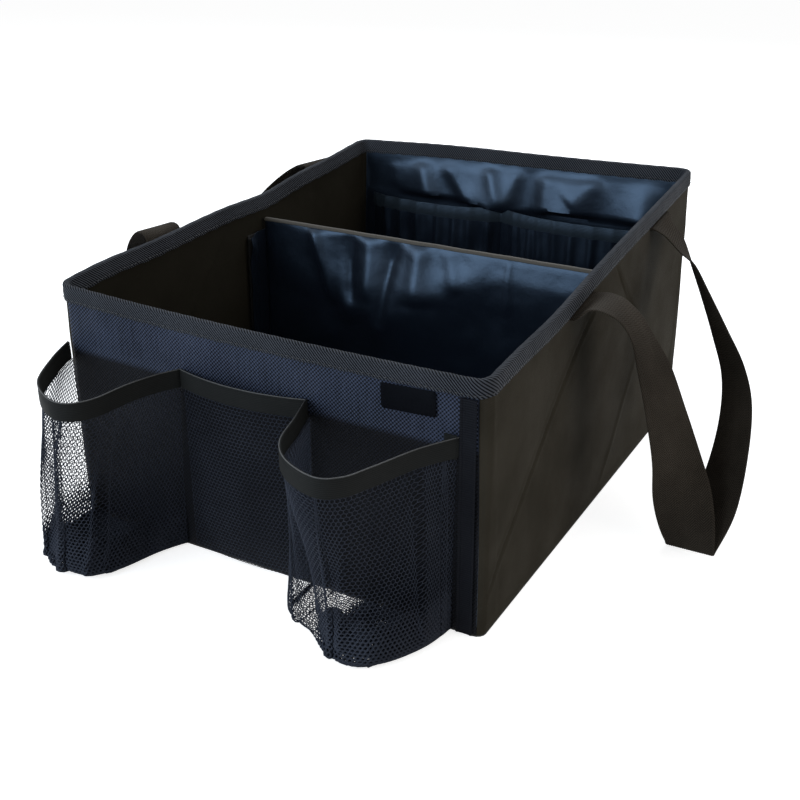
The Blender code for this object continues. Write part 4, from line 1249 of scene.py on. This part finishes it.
def threads_of(name, verts, faces, gather_x):
    """Turns each edge of a sketch into a thread, thicker where the net is gathered on the floor."""
    sketch = in_scene(name + "_sketch", new_mesh(name, verts, faces))
    gathered = sketch.vertex_groups.new(name="gathered")
    low, high = NET_GATHER
    for k, p in enumerate(verts):
        beside = ease(p.x, gather_x, GATHER_BESIDE)
        gathered.add([k], smooth((high - p.z) / (high - low)) * beside, "REPLACE")
    threads = sketch.modifiers.new("threads", "WIREFRAME")
    threads.thickness = NET_FLOOR_THREAD
    threads.vertex_group = gathered.name
    threads.thickness_vertex_group = NET_THREAD / NET_FLOOR_THREAD
    threads.use_even_offset = False
    threads.use_boundary = True
    threads.use_replace = True
    solid = settled_mesh(sketch)
    bpy.data.objects.remove(sketch)
    cloth_map = solid.uv_layers[0] if solid.uv_layers else solid.uv_layers.new(name="cloth")
    cloth_map.name = "cloth"
    return solid


def build_band(f, left, right):
    """The folded tape along the net pockets' tops: round each loop and back to the panel at every seam."""
    first, second, third = BAND_STEPS
    line = [left(s, 0) for s in even_shares(lambda s: Vector(left(s, 0)), first)]
    line += [flat_plan(s, 0) for s in steps(0, 1, second)][1:-1]
    line += [right(s, 0) for s in even_shares(lambda s: Vector(right(s, 0)), third)]
    half, low, high = NET_BAND_CLOTH / 2, NET_BAND_TOP - NET_BAND_HEIGHT, NET_BAND_TOP
    points = [Vector((x, front_face_y(x) - GAP - half - BAND_STAND - reach)) for x, reach in line]
    section = [(share, low + up) for share, up in BAND_SECTION]
    section += [(-share, z) for share, z in reversed(section)]
    over, least = BAND_WAVE_FADE
    grid, bead = [], []
    for k, (p, run) in enumerate(zip(points, arc_lengths(points))):
        along = (points[min(k + 1, len(points) - 1)] - points[max(k - 1, 0)]).normalized()
        seam = k in (first, first + second - 1)
        out = Vector((0, -1)) if seam else Vector((along.y, -along.x))
        wave = waves("band", run, 0, 0)
        ring = []
        for share, z in section:
            ring.append(Vector((*(p + out * half * share), z + wave * smooth((high - z) / over + least))))
        grid.append(ring)
        bead.append(Vector((*(p + out * half * BEAD_SHARE), high - BEAD_DROP + wave * BEAD_WAVE)))
    made = make("pocket_band", grid, f["band"], ["net_band"], "elastic_band", cap=True)
    cord("band_bead", bead, BEAD, f["bead"], "elastic_band")
    build_band_tab(f, low, high)


def build_band_tab(f, low, high):
    """The band's folded right end, sewn flat on the panel."""
    end = NET_SEAMS[3]
    xs = steps(end - TAB_SPAN[0], end - TAB_SPAN[1], TAB_STEPS[0])
    zs = steps(low - TAB_OVER, high + TAB_OVER, TAB_STEPS[1])

    def face(x, z):
        crown = ridges(x - end, [TAB_CROWN]) + waves("band_tab", x, 0, z)
        return Vector((x, -HALF_D - TAB_STAND - crown, z))

    made = cloth("band_tab", xs, zs, face, -TAB_CLOTH, f["band"], (), "elastic_band")


def build_corner_tape(f):
    """The flat tape beside the right bottle pocket, with a raised edge on each side."""
    start = NET_SEAMS[3] + EDGE_TAPE_GAP
    top = rim_height(start, -HALF_D) - BINDING_HEIGHT - GAP
    xs, zs = steps(start, start + EDGE_TAPE_WIDTH, TAPE_STEPS[0]), steps(WALL_BOTTOM, top, TAPE_STEPS[1])

    def face(x, z):
        lift = ridges((x - start) / EDGE_TAPE_WIDTH, TAPE_RIDGES) + waves("corner_tape", x, 0, z)
        return Vector((x, -HALF_D - TAPE_STAND - lift, z))

    made = cloth("corner_tape", xs, zs, face, -TAPE_CLOTH, f["edge_tape"], ["net_edge_tape"], "elastic_band")


def build_nets(f):
    left = bottle_plan(NET_SEAMS[:2], LEFT_BAND_PLAN, LEFT_FLOOR_PLAN)
    right = bottle_plan(NET_SEAMS[2:], RIGHT_BAND_PLAN, RIGHT_FLOOR_PLAN)
    build_band(f, left, right)
    bottle = BOTTLE_PROFILE + tuple((1.0, scale, z) for scale, z in NET_ROLL)
    base = (len(BOTTLE_PROFILE) - 1) / (len(bottle) - 1)
    # Piece, node, plan, profile, base, folds, pleats, the roll's ends, where its gathers begin, flat size
    rows = (
        (
            "net_left", "left_bottle_net", left, bottle, base, LEFT_NET_FOLDS, LEFT_PLEATS,
            (0.22, 0.94), -0.16, (0.245, 0.190),
        ),
        (
            "net_right", "right_bottle_net", right, bottle, base, RIGHT_NET_FOLDS, RIGHT_PLEATS,
            (0.34, 0.94), 0.068, (0.255, 0.190),
        ),
        (
            "net_centre", "flat_pocket_net", flat_plan, FLAT_PROFILE, 2.0, (), (),
            (0, 1), HALF_W, (0.092, 0.114),
        ),
    )
    for name, node, plan, profile, base, broad, pleats, roll, gather_x, flat in rows:
        surface = net_surface(plan, profile, base, broad, pleats, roll)
        build_net(name, node, surface, base, roll, gather_x, flat, f)
    build_corner_tape(f)


# Divider, inner pocket and label

BELLY_REST = 0.0006
BELLY_TOP_SHARE = 0.2
DIVIDER_BACK_REST = 0.0012
# How soon the divider's cloth stands off: from its ends, its top in front and behind, and the floor
DIVIDER_END_HOLD = 0.010
DIVIDER_TOP_HOLD = (0.005, 0.010)
DIVIDER_FOOT_HOLD = 0.020
DIVIDER_STEPS = (124, 60)
DIVIDER_ARC_STEPS = 8
# Binding on the divider's top: how far it stands off, hangs down and out behind, its thickness and roof
EDGE_STAND = 0.0006
EDGE_HANG = 0.0014
EDGE_BACK = 0.0002
EDGE_CLOTH = 0.0005
EDGE_ROOF = -0.0002
# Flaps: where they come loose, their curl, the ridge near the edge, the knot near the top, their taper
FLAP_LOOSE = (0.5, 0.5)
FLAP_CURL = 0.0014
FLAP_RIDGE = (0.90, 0.0004, 0.05)
FLAP_KNOT = (-0.008, 0.0020, 0.006)
FLAP_TAPER = 0.03
FLAP_STEPS = (20, 60)
FLAP_FACE = 0.0006
# Inner pocket: roundness of its two bellies, how soon they grow from the floor, and how its gathers fan out
POCKET_ROUND = 0.7
POCKET_GROWTH = 1.5
POCKET_FAN = 0.10
RIDGE_HEIGHT = 0.0026
RIDGE_WIDTH = 0.0036
RIDGE_GROWTH = 1.3
POCKET_FINE_START = (0.04, 0.05)
POCKET_FINE_STRETCH = 3
POCKET_EDGE = 1 / 14
POCKET_GAP = 0.0002
POCKET_OVERLAP = 0.0005
POCKET_STEPS = (180, 36, 10)
# Its elastic: share of the pocket's belly and of its gathers, stand, puff, and how it sags beside the seam
ELASTIC_BELLY = 0.85
ELASTIC_GATHERS = 0.4
ELASTIC_STAND = 0.0008
ELASTIC_PUFF = 0.0007
ELASTIC_RISE = 0.0005
ELASTIC_SAG = 0.0014
ELASTIC_SAG_REACH = 0.05
LABEL_STEPS = (40, 20)
LABEL_ROUND = 0.0012
LABEL_CROWN = 0.0006
LABEL_GROOVE = (0.0016, 0.0002, 0.0004)
LABEL_CORNER = 0.3
LABEL_CLOTH = 0.0004
LABEL_SEAM = 0.0016
LABEL_SEAM_STEPS = 30
LABEL_THREAD_STAND = 0.0001


def divider_hold(x, z, down, over):
    ends = smooth((DIVIDER_HALF_WIDTH - abs(x)) / DIVIDER_END_HOLD)
    return ends * smooth(down / over) * smooth((z - FLOOR_TOP) / DIVIDER_FOOT_HOLD)


def divider_bulge(x, z):
    """How far the divider's front cloth hangs off its board: held at the top, slack below, deep folds."""
    down = DIVIDER_TOP - z
    start, full = BELLY_SIDE
    middle, spread = BELLY_PEAK
    peak = bump(x - middle, spread)
    depth, reach = (low + more * peak for low, more in (BELLY_DEPTH, BELLY_FULL))
    belly = depth * smooth((x - start) / (full - start)) * smooth(down / reach) + BELLY_REST
    below = smooth((BELLY_FLAT - down) / (BELLY_FLAT - reach))
    lift = belly * (BELLY_TOP_SHARE + (1 - BELLY_TOP_SHARE) * below)
    lift += folds(x, z, DIVIDER_FOLDS) + waves("divider_front", x, 0, z)
    return max(0.0, lift) * divider_hold(x, z, down, DIVIDER_TOP_HOLD[0])


def divider_back(x, z):
    lift = DIVIDER_BACK_REST + waves("divider_rear", x, 0, z) + folds(x, z, DIVIDER_REAR_FOLDS)
    return max(0.0, lift) * divider_hold(x, z, DIVIDER_TOP - z, DIVIDER_TOP_HOLD[1])


def build_divider(f):
    sleeve = DIVIDER_BOARD / 2 + GAP
    outside = sleeve + LINING_CLOTH
    bottom = FLOOR_TOP + GAP
    shoulder = DIVIDER_TOP - outside
    across, height_steps = DIVIDER_STEPS
    down = steps(bottom, shoulder, height_steps)
    arc = steps(0, math.pi, DIVIDER_ARC_STEPS)[1:-1]

    def ring(x):
        front = [Vector((x, DIVIDER_Y - outside - divider_bulge(x, z), z)) for z in down]
        top = [Vector((x, DIVIDER_Y - outside * math.cos(a), shoulder + outside * math.sin(a))) for a in arc]
        back = [Vector((x, DIVIDER_Y + outside + divider_back(x, z), z)) for z in reversed(down)]
        inner = [Vector((p.x, p.y - LINING_CLOTH, p.z)) for p in reversed(back)]
        roof = [Vector((x, DIVIDER_Y + y, DIVIDER_TOP - LINING_CLOTH)) for y in (sleeve, -sleeve)]
        lower = [Vector((p.x, p.y + LINING_CLOTH, p.z)) for p in reversed(front)]
        return front + top + back + inner + roof + lower

    xs = steps(-DIVIDER_HALF_WIDTH, DIVIDER_HALF_WIDTH, across)
    made = make("divider_cloth", [ring(x) for x in xs], f["lining"], ["divider_cover"], "lining_cloth")
    close_ends(made)
    build_divider_edge(f, outside)
    for side, word in ((1, "right"), (-1, "left")):
        build_flap(side, word, f)


def close_ends(made):
    """Fills the open ends of a tube."""
    bm = bmesh.new()
    bm.from_mesh(made.data)
    edges = [e for e in bm.edges if e.is_boundary]
    bmesh.ops.holes_fill(bm, edges=edges, sides=0)
    bmesh.ops.triangulate(bm, faces=[g for g in bm.faces if len(g.verts) > 4])
    bmesh.ops.recalc_face_normals(bm, faces=bm.faces)
    bm.to_mesh(made.data)
    bm.free()


def build_divider_edge(f, outside):
    """The paler thin binding along the divider's top."""
    half = outside + EDGE_STAND
    low = DIVIDER_TOP - EDGE_HANG
    shoulder = DIVIDER_TOP - outside
    grid = []
    for x in steps(-DIVIDER_HALF_WIDTH, DIVIDER_HALF_WIDTH, DIVIDER_STEPS[0]):
        hang = waves("divider_edge", x, 0, 0)
        outer = [Vector((x, DIVIDER_Y - half - divider_bulge(x, low), low + hang))]
        for a in steps(0, math.pi, DIVIDER_ARC_STEPS):
            outer.append(Vector((x, DIVIDER_Y - half * math.cos(a), shoulder + half * math.sin(a) + hang)))
        outer += [Vector((x, DIVIDER_Y + half + EDGE_BACK, low))]
        grid.append(outer)
        for p in outer[::-1]:
            grid[-1].append(p + Vector((0, math.copysign(EDGE_CLOTH, DIVIDER_Y - p.y), EDGE_ROOF)))
    made = make("divider_edge", grid, f["divider_edge"], (), "lining_cloth", cap=True)


def build_flap(side, word, f):
    """A flap sewn to the divider and folded forward on the side wall, over its hook tape."""
    inner = side * (DIVIDER_HALF_WIDTH + GAP)
    rear = DIVIDER_Y + DIVIDER_BOARD / 2 + GAP + LINING_CLOTH
    middle = (FLAP_BOTTOM + FLAP_TOP) / 2

    def face(y, z):
        free = (rear - y) / FLAP_REACH
        loose = ease(free, *FLAP_LOOSE)
        curl = FLAP_CURL * loose * (1 + waves("flap", side, y, z)) + ridges(free, [FLAP_RIDGE])
        knot = ridges(z - FLAP_TOP, [FLAP_KNOT]) * loose
        return Vector((inner - side * (curl + knot), y, z - FLAP_TAPER * (z - middle) * loose))

    ys, zs = steps(rear - FLAP_REACH, rear, FLAP_STEPS[0]), steps(FLAP_BOTTOM, FLAP_TOP, FLAP_STEPS[1])
    node = f"divider_flap_{word}"
    made = cloth(f"flap_{word}", ys, zs, face, FLAP_FACE * side, f["lining"], [node], "lining_cloth")


def pocket_stand(x, z, gathered=1.0):
    """How far the inner pocket stands off the rear lining: a belly each side of its seam, and gathers."""
    half, seam = POCKET_HALF_WIDTH, POCKET_SEAM_X
    low, high = (-half, seam) if x < seam else (seam, half)
    share = (x - low) / (high - low)
    up = z / POCKET_TOP
    belly = POCKET_BULGE * (4 * share * (1 - share)) ** POCKET_ROUND * smooth(up * POCKET_GROWTH)
    drift = x + POCKET_FAN * (POCKET_TOP - z) * (share - 0.5)
    rows = [(at, RIDGE_HEIGHT, RIDGE_WIDTH) for at in POCKET_RIDGES]
    fine = waves("inner_pocket", x, 0, z / POCKET_FINE_STRETCH) * ease(z, *POCKET_FINE_START)
    edge = smooth(share / POCKET_EDGE) * smooth((1 - share) / POCKET_EDGE)
    return max(0.0, belly + (ridges(drift, rows) * smooth(up * RIDGE_GROWTH) + fine) * edge * gathered)


def build_inner_pocket(f):
    wall_y = HALF_D - INNER_INSET - GAP - POCKET_GAP
    band_low = POCKET_TOP - POCKET_BAND_HEIGHT
    across, down, band_steps = POCKET_STEPS
    xs = steps(-POCKET_HALF_WIDTH, POCKET_HALF_WIDTH, across)
    zs = steps(FLOOR_TOP + GAP, band_low + POCKET_OVERLAP, down)

    def face(x, z):
        return Vector((x, wall_y - LINING_CLOTH - pocket_stand(x, z), z))

    made = cloth("pocket_cloth", xs, zs, face, LINING_CLOTH, f["lining"], ["inner_pocket"], "lining_cloth")

    def band(x, s):
        stand = ELASTIC_BELLY * pocket_stand(x, POCKET_TOP, ELASTIC_GATHERS) + ELASTIC_STAND
        puff = ELASTIC_PUFF * math.sin(math.pi * s)
        sag = ELASTIC_RISE - ELASTIC_SAG * smooth(abs(x - POCKET_SEAM_X) / ELASTIC_SAG_REACH)
        z = band_low + POCKET_BAND_HEIGHT * s + sag
        return Vector((x, wall_y - POCKET_BAND_CLOTH - stand - puff, z))

    shares, thick, node = steps(0, 1, band_steps), POCKET_BAND_CLOTH, "inner_pocket_band"
    made = cloth("pocket_elastic", xs, shares, band, thick, f["inner_band"], [node], "elastic_band")


def build_label(f):
    """A bare woven patch with soft corners, folded ends and a sewn edge."""
    width, height = LABEL_SIZE
    middle_x, middle_z = LABEL_MIDDLE
    turn = Matrix.Rotation(-math.radians(LABEL_TILT), 3, "Y")
    xs, zs = (steps(-side / 2, side / 2, count) for side, count in zip(LABEL_SIZE, LABEL_STEPS))

    def face(x, z):
        beside, over = width / 2 - abs(x), height / 2 - abs(z)
        edge = min(beside, over)
        crown = LABEL_CROWN * smooth(edge / LABEL_ROUND) - ridges(edge, [LABEL_GROOVE])
        round_off = max(0.0, LABEL_ROUND - beside) * max(0.0, LABEL_ROUND - over)
        corner = LABEL_CORNER * round_off / LABEL_ROUND
        flat = Vector((x - math.copysign(corner, x), 0, z - math.copysign(corner, z)))
        return turn @ flat + Vector((middle_x, -HALF_D - 2 * GAP - crown, middle_z))

    made = cloth("label_patch", xs, zs, face, -LABEL_CLOTH, f["label"], ["woven_label"], "label")
    corners = [(-1, -1), (1, -1), (1, 1), (-1, 1), (-1, -1)]
    out = Vector((0, -1, 0))
    line = []
    for (ax, az), (bx, bz) in zip(corners, corners[1:]):
        for t in steps(0, 1, LABEL_SEAM_STEPS)[:-1]:
            x = (ax + (bx - ax) * t) * (width / 2 - LABEL_SEAM)
            z = (az + (bz - az) * t) * (height / 2 - LABEL_SEAM)
            line.append((face(x, z) + out * LABEL_THREAD_STAND, out))
    line.append(line[0])
    stitches("label_stitches", [line], f["thread"], "label", LABEL_STITCH)


# Handles

# Webbing: how square its edges are, how thin they get, and the steps between two places of its route
STRAP_SQUARE = 24
STRAP_EDGE = 0.35
STRAP_SMOOTH = 8
STRAP_DEPTH = CORE_INSET + 0.0009
STRAP_BEND = 0.002
# The cutter of a slit in the side cloth: its depth, and its room beside and over the webbing
SLOT_DEPTH = 0.010
SLOT_ROOM = (0.0012, 0.0010)


def strap_exit(side, y):
    ends = []
    for k in (-1, 1):
        q = side_q(side, y + k * STRAP_WIDTH / 2)
        ends.append(wall(q, rim_at(q) - STRAP_EXIT_DROP, 0))
    low, high = ends
    return (low + high) / 2, (high - low).normalized()


def strap_key(side, out, share, height, turn, tilt):
    front, rear = (strap_exit(side, y)[0] for y in STRAP_ENDS_Y[side])
    slot = front + (rear - front) * share
    lift = STRAP_LIFT[side][0 if share < 0.5 else 1] if height > ARCH_FLOOR else 0.0
    arch = lift * max(0.0, 1 - abs(out - ARCH_REACH) / ARCH_SPREAD)
    turn, tilt = math.radians(turn), math.radians(tilt)
    width = Vector((side * math.sin(turn) * math.cos(tilt), math.cos(turn) * math.cos(tilt), math.sin(tilt)))
    return Vector((side * (HALF_W + out), slot.y, slot.z * height + arch)), width


def strap_ring(place, width, normal):
    """A section of the webbing: a flat band with rounded edges and lengthwise ribs on both faces."""
    ring = []
    count = STRAP_ROWS * STRAP_RIBS
    for face in (1, -1):
        for n in range(count + 1):
            s = (n / count * 2 - 1) * face
            edge = math.sqrt(max(0.0, 1 - abs(s) ** STRAP_SQUARE))
            rib = RIB_HEIGHT * math.cos(math.pi * STRAP_RIBS * s)
            thick = STRAP / 2 * (STRAP_EDGE + (1 - STRAP_EDGE) * edge) + rib * edge
            ring.append(place + width * (STRAP_WIDTH / 2 * s) + normal * face * thick)
    return ring


def build_strap(side, word, panel, f):
    keys = [strap_key(side, *key) for key in STRAP_ROUTE]
    out = Vector((side, 0, 0))
    ends = []
    for y, sign in zip(STRAP_ENDS_Y[side], (1, -1)):
        slot, along = strap_exit(side, y)
        up = along.cross(out)
        up = up if up.z > 0 else -up
        core = slot - out * STRAP_DEPTH
        tail = (core - up * STRAP_TAIL, core - up * STRAP_BEND, core, slot + out * STRAP_LIP)
        ends.append([(p, along * sign) for p in tail])
        cut_slot(panel, slot, along, out, up)
    keys = ends[0] + keys + ends[1][::-1]
    places, widths = [k[0] for k in keys], [k[1] for k in keys]
    fine = [t / STRAP_SMOOTH for t in range(STRAP_SMOOTH * (len(places) - 1) + 1)]
    route = [(spline(places, t), spline(widths, t).normalized()) for t in fine]
    grid = []
    for k, (place, width) in enumerate(route):
        along = route[min(k + 1, len(route) - 1)][0] - route[max(k - 1, 0)][0]
        grid.append(strap_ring(place, width, along.cross(width).normalized()))
    made = make(f"strap_{word}", grid, f["webbing"], [f"{word}_handle"], "webbing", cap=True)
    length = arc_lengths([place for place, _ in route])[-1]


def cut_slot(panel, slot, along, out, up):
    """Opens the slit in the side cloth that a strap end leaves by."""
    beside, over = SLOT_ROOM
    size = Matrix.Diagonal((SLOT_DEPTH, STRAP_WIDTH + beside, STRAP + over))
    axes = Matrix((out, along, up)).transposed()
    bm = bmesh.new()
    bmesh.ops.create_cube(bm, size=1)
    for v in bm.verts:
        v.co = settled(axes @ (size @ v.co) + slot)
    bmesh.ops.recalc_face_normals(bm, faces=bm.faces)
    mesh = bpy.data.meshes.new("slot_cutter")
    bm.to_mesh(mesh)
    bm.free()
    cutter = in_scene("slot_cutter", mesh)
    modifier = panel.modifiers.new("slot", "BOOLEAN")
    modifier.operation = "DIFFERENCE"
    modifier.object = cutter
    cut = settled_mesh(panel)
    panel.modifiers.remove(modifier)
    panel.data = cut
    bpy.data.objects.remove(cutter)


def finish_frame_nodes(f):
    """The pieces that stay as the frame has them: sealed boards, tapes and the base."""
    for name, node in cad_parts.items():
        if node.hide_render:
            continue
        finish = f["board"] if name.endswith("_board") else f["under"] if name == "base_panel" else f["tape"]
        node.data.materials.clear()
        node.data.materials.append(finish)


# Stage

FLOOR_HALF = 40.0
FLOOR_GAP = 0.0002
FLOOR_GREY = (0.8, 0.8, 0.8, 1)
WHITE = (1, 1, 1, 1)
LIGHT_TARGET = (0, 0, 0.08)
# Lights: name, place, size, power in watts, colour
LIGHTS = (
    ("key_front", (-0.827, -1.555, 0.81), (1.5, 1.3), 26, (0.80, 0.90, 1.0)),
    ("top_rear", (-0.2, 1.1, 1.5), (1.6, 0.9), 22, (0.86, 0.93, 1.0)),
    ("side_right", (1.7, -0.1, 0.9), (1.2, 1.0), 8, (1.0, 0.93, 0.84)),
)


def seen_directly(tree):
    """1 for rays that show the background itself: camera, mirror and glass rays."""
    path = tree.nodes.new("ShaderNodeLightPath")
    seen = path.outputs["Is Camera Ray"]
    for other in ("Is Glossy Ray", "Is Transmission Ray"):
        either = tree.nodes.new("ShaderNodeMath")
        either.operation = "MAXIMUM"
        tree.links.new(seen, either.inputs[0])
        tree.links.new(path.outputs[other], either.inputs[1])
        seen = either.outputs[0]
    return seen


def pale_floor():
    """A pale floor that keeps the object's shadow, and is lifted to white where it is seen."""
    n = Nodes("pale_floor")
    n.shader.inputs["Base Color"].default_value = FLOOR_GREY
    n.shader.inputs["Roughness"].default_value = 1.0
    n.shader.inputs["Specular IOR Level"].default_value = 0.0
    n.shader.inputs["Emission Color"].default_value = WHITE
    n.link(n.math("MULTIPLY", seen_directly(n.tree), FLOOR_LIFT), "Emission Strength")
    return n.material


def build_stage():
    mesh = bpy.data.meshes.new("floor")
    bm = bmesh.new()
    bmesh.ops.create_grid(bm, x_segments=2, y_segments=2, size=FLOOR_HALF)
    bmesh.ops.translate(bm, verts=bm.verts, vec=(0, 0, -FLOOR_GAP))
    bm.to_mesh(mesh)
    bm.free()
    mesh.materials.append(pale_floor())
    in_scene("floor", mesh)


def build_world():
    """A soft even world that the camera sees as plain white."""
    world = bpy.data.worlds.new("studio")
    bpy.context.scene.world = world
    world.use_nodes = True
    tree = world.node_tree
    background = tree.nodes["Background"]
    strength = tree.nodes.new("ShaderNodeMapRange")
    tree.links.new(seen_directly(tree), strength.inputs["Value"])
    strength.inputs["To Min"].default_value = WORLD_LIGHT
    strength.inputs["To Max"].default_value = 1.0
    tree.links.new(strength.outputs[0], background.inputs["Strength"])
    background.inputs["Color"].default_value = WHITE


def build_lights():
    for name, place, size, power, colour in LIGHTS:
        light = bpy.data.lights.new(name, "AREA")
        light.shape = "RECTANGLE"
        light.size, light.size_y = size
        light.energy = power
        light.color = colour
        made = in_scene(name, light)
        made.location = place
        made.rotation_euler = (Vector(LIGHT_TARGET) - Vector(place)).to_track_quat("-Z", "Y").to_euler()


def build_camera():
    azimuth, elevation, roll = (math.radians(a) for a in (CAMERA_AZIMUTH, CAMERA_ELEVATION, CAMERA_ROLL))
    level = math.cos(elevation)
    back = Vector((math.sin(azimuth) * level, -math.cos(azimuth) * level, math.sin(elevation)))
    right = Vector((math.cos(azimuth), math.sin(azimuth), 0))
    up = back.cross(right)
    turned_right = right * math.cos(roll) + up * math.sin(roll)
    turned_up = up * math.cos(roll) - right * math.sin(roll)
    data = bpy.data.cameras.new("camera")
    data.lens = CAMERA_LENS
    data.sensor_width = CAMERA_SENSOR
    data.clip_start = CAMERA_NEAR
    camera = in_scene("camera", data)
    matrix = Matrix((turned_right, turned_up, back)).transposed().to_4x4()
    matrix.translation = Vector(CAMERA_PLACE)
    camera.matrix_world = matrix
    bpy.context.scene.camera = camera


def main():
    finishes = make_finishes()
    panels = build_walls(finishes)
    build_floor(finishes)
    build_binding(finishes)
    build_nets(finishes)
    build_divider(finishes)
    build_inner_pocket(finishes)
    build_label(finishes)
    build_strap(1, "right", panels[1], finishes)
    build_strap(-1, "left", panels[-1], finishes)
    finish_frame_nodes(finishes)
    build_stage()
    build_world()
    build_lights()
    build_camera()
    bpy.context.scene.view_settings.view_transform = "Standard"


main()
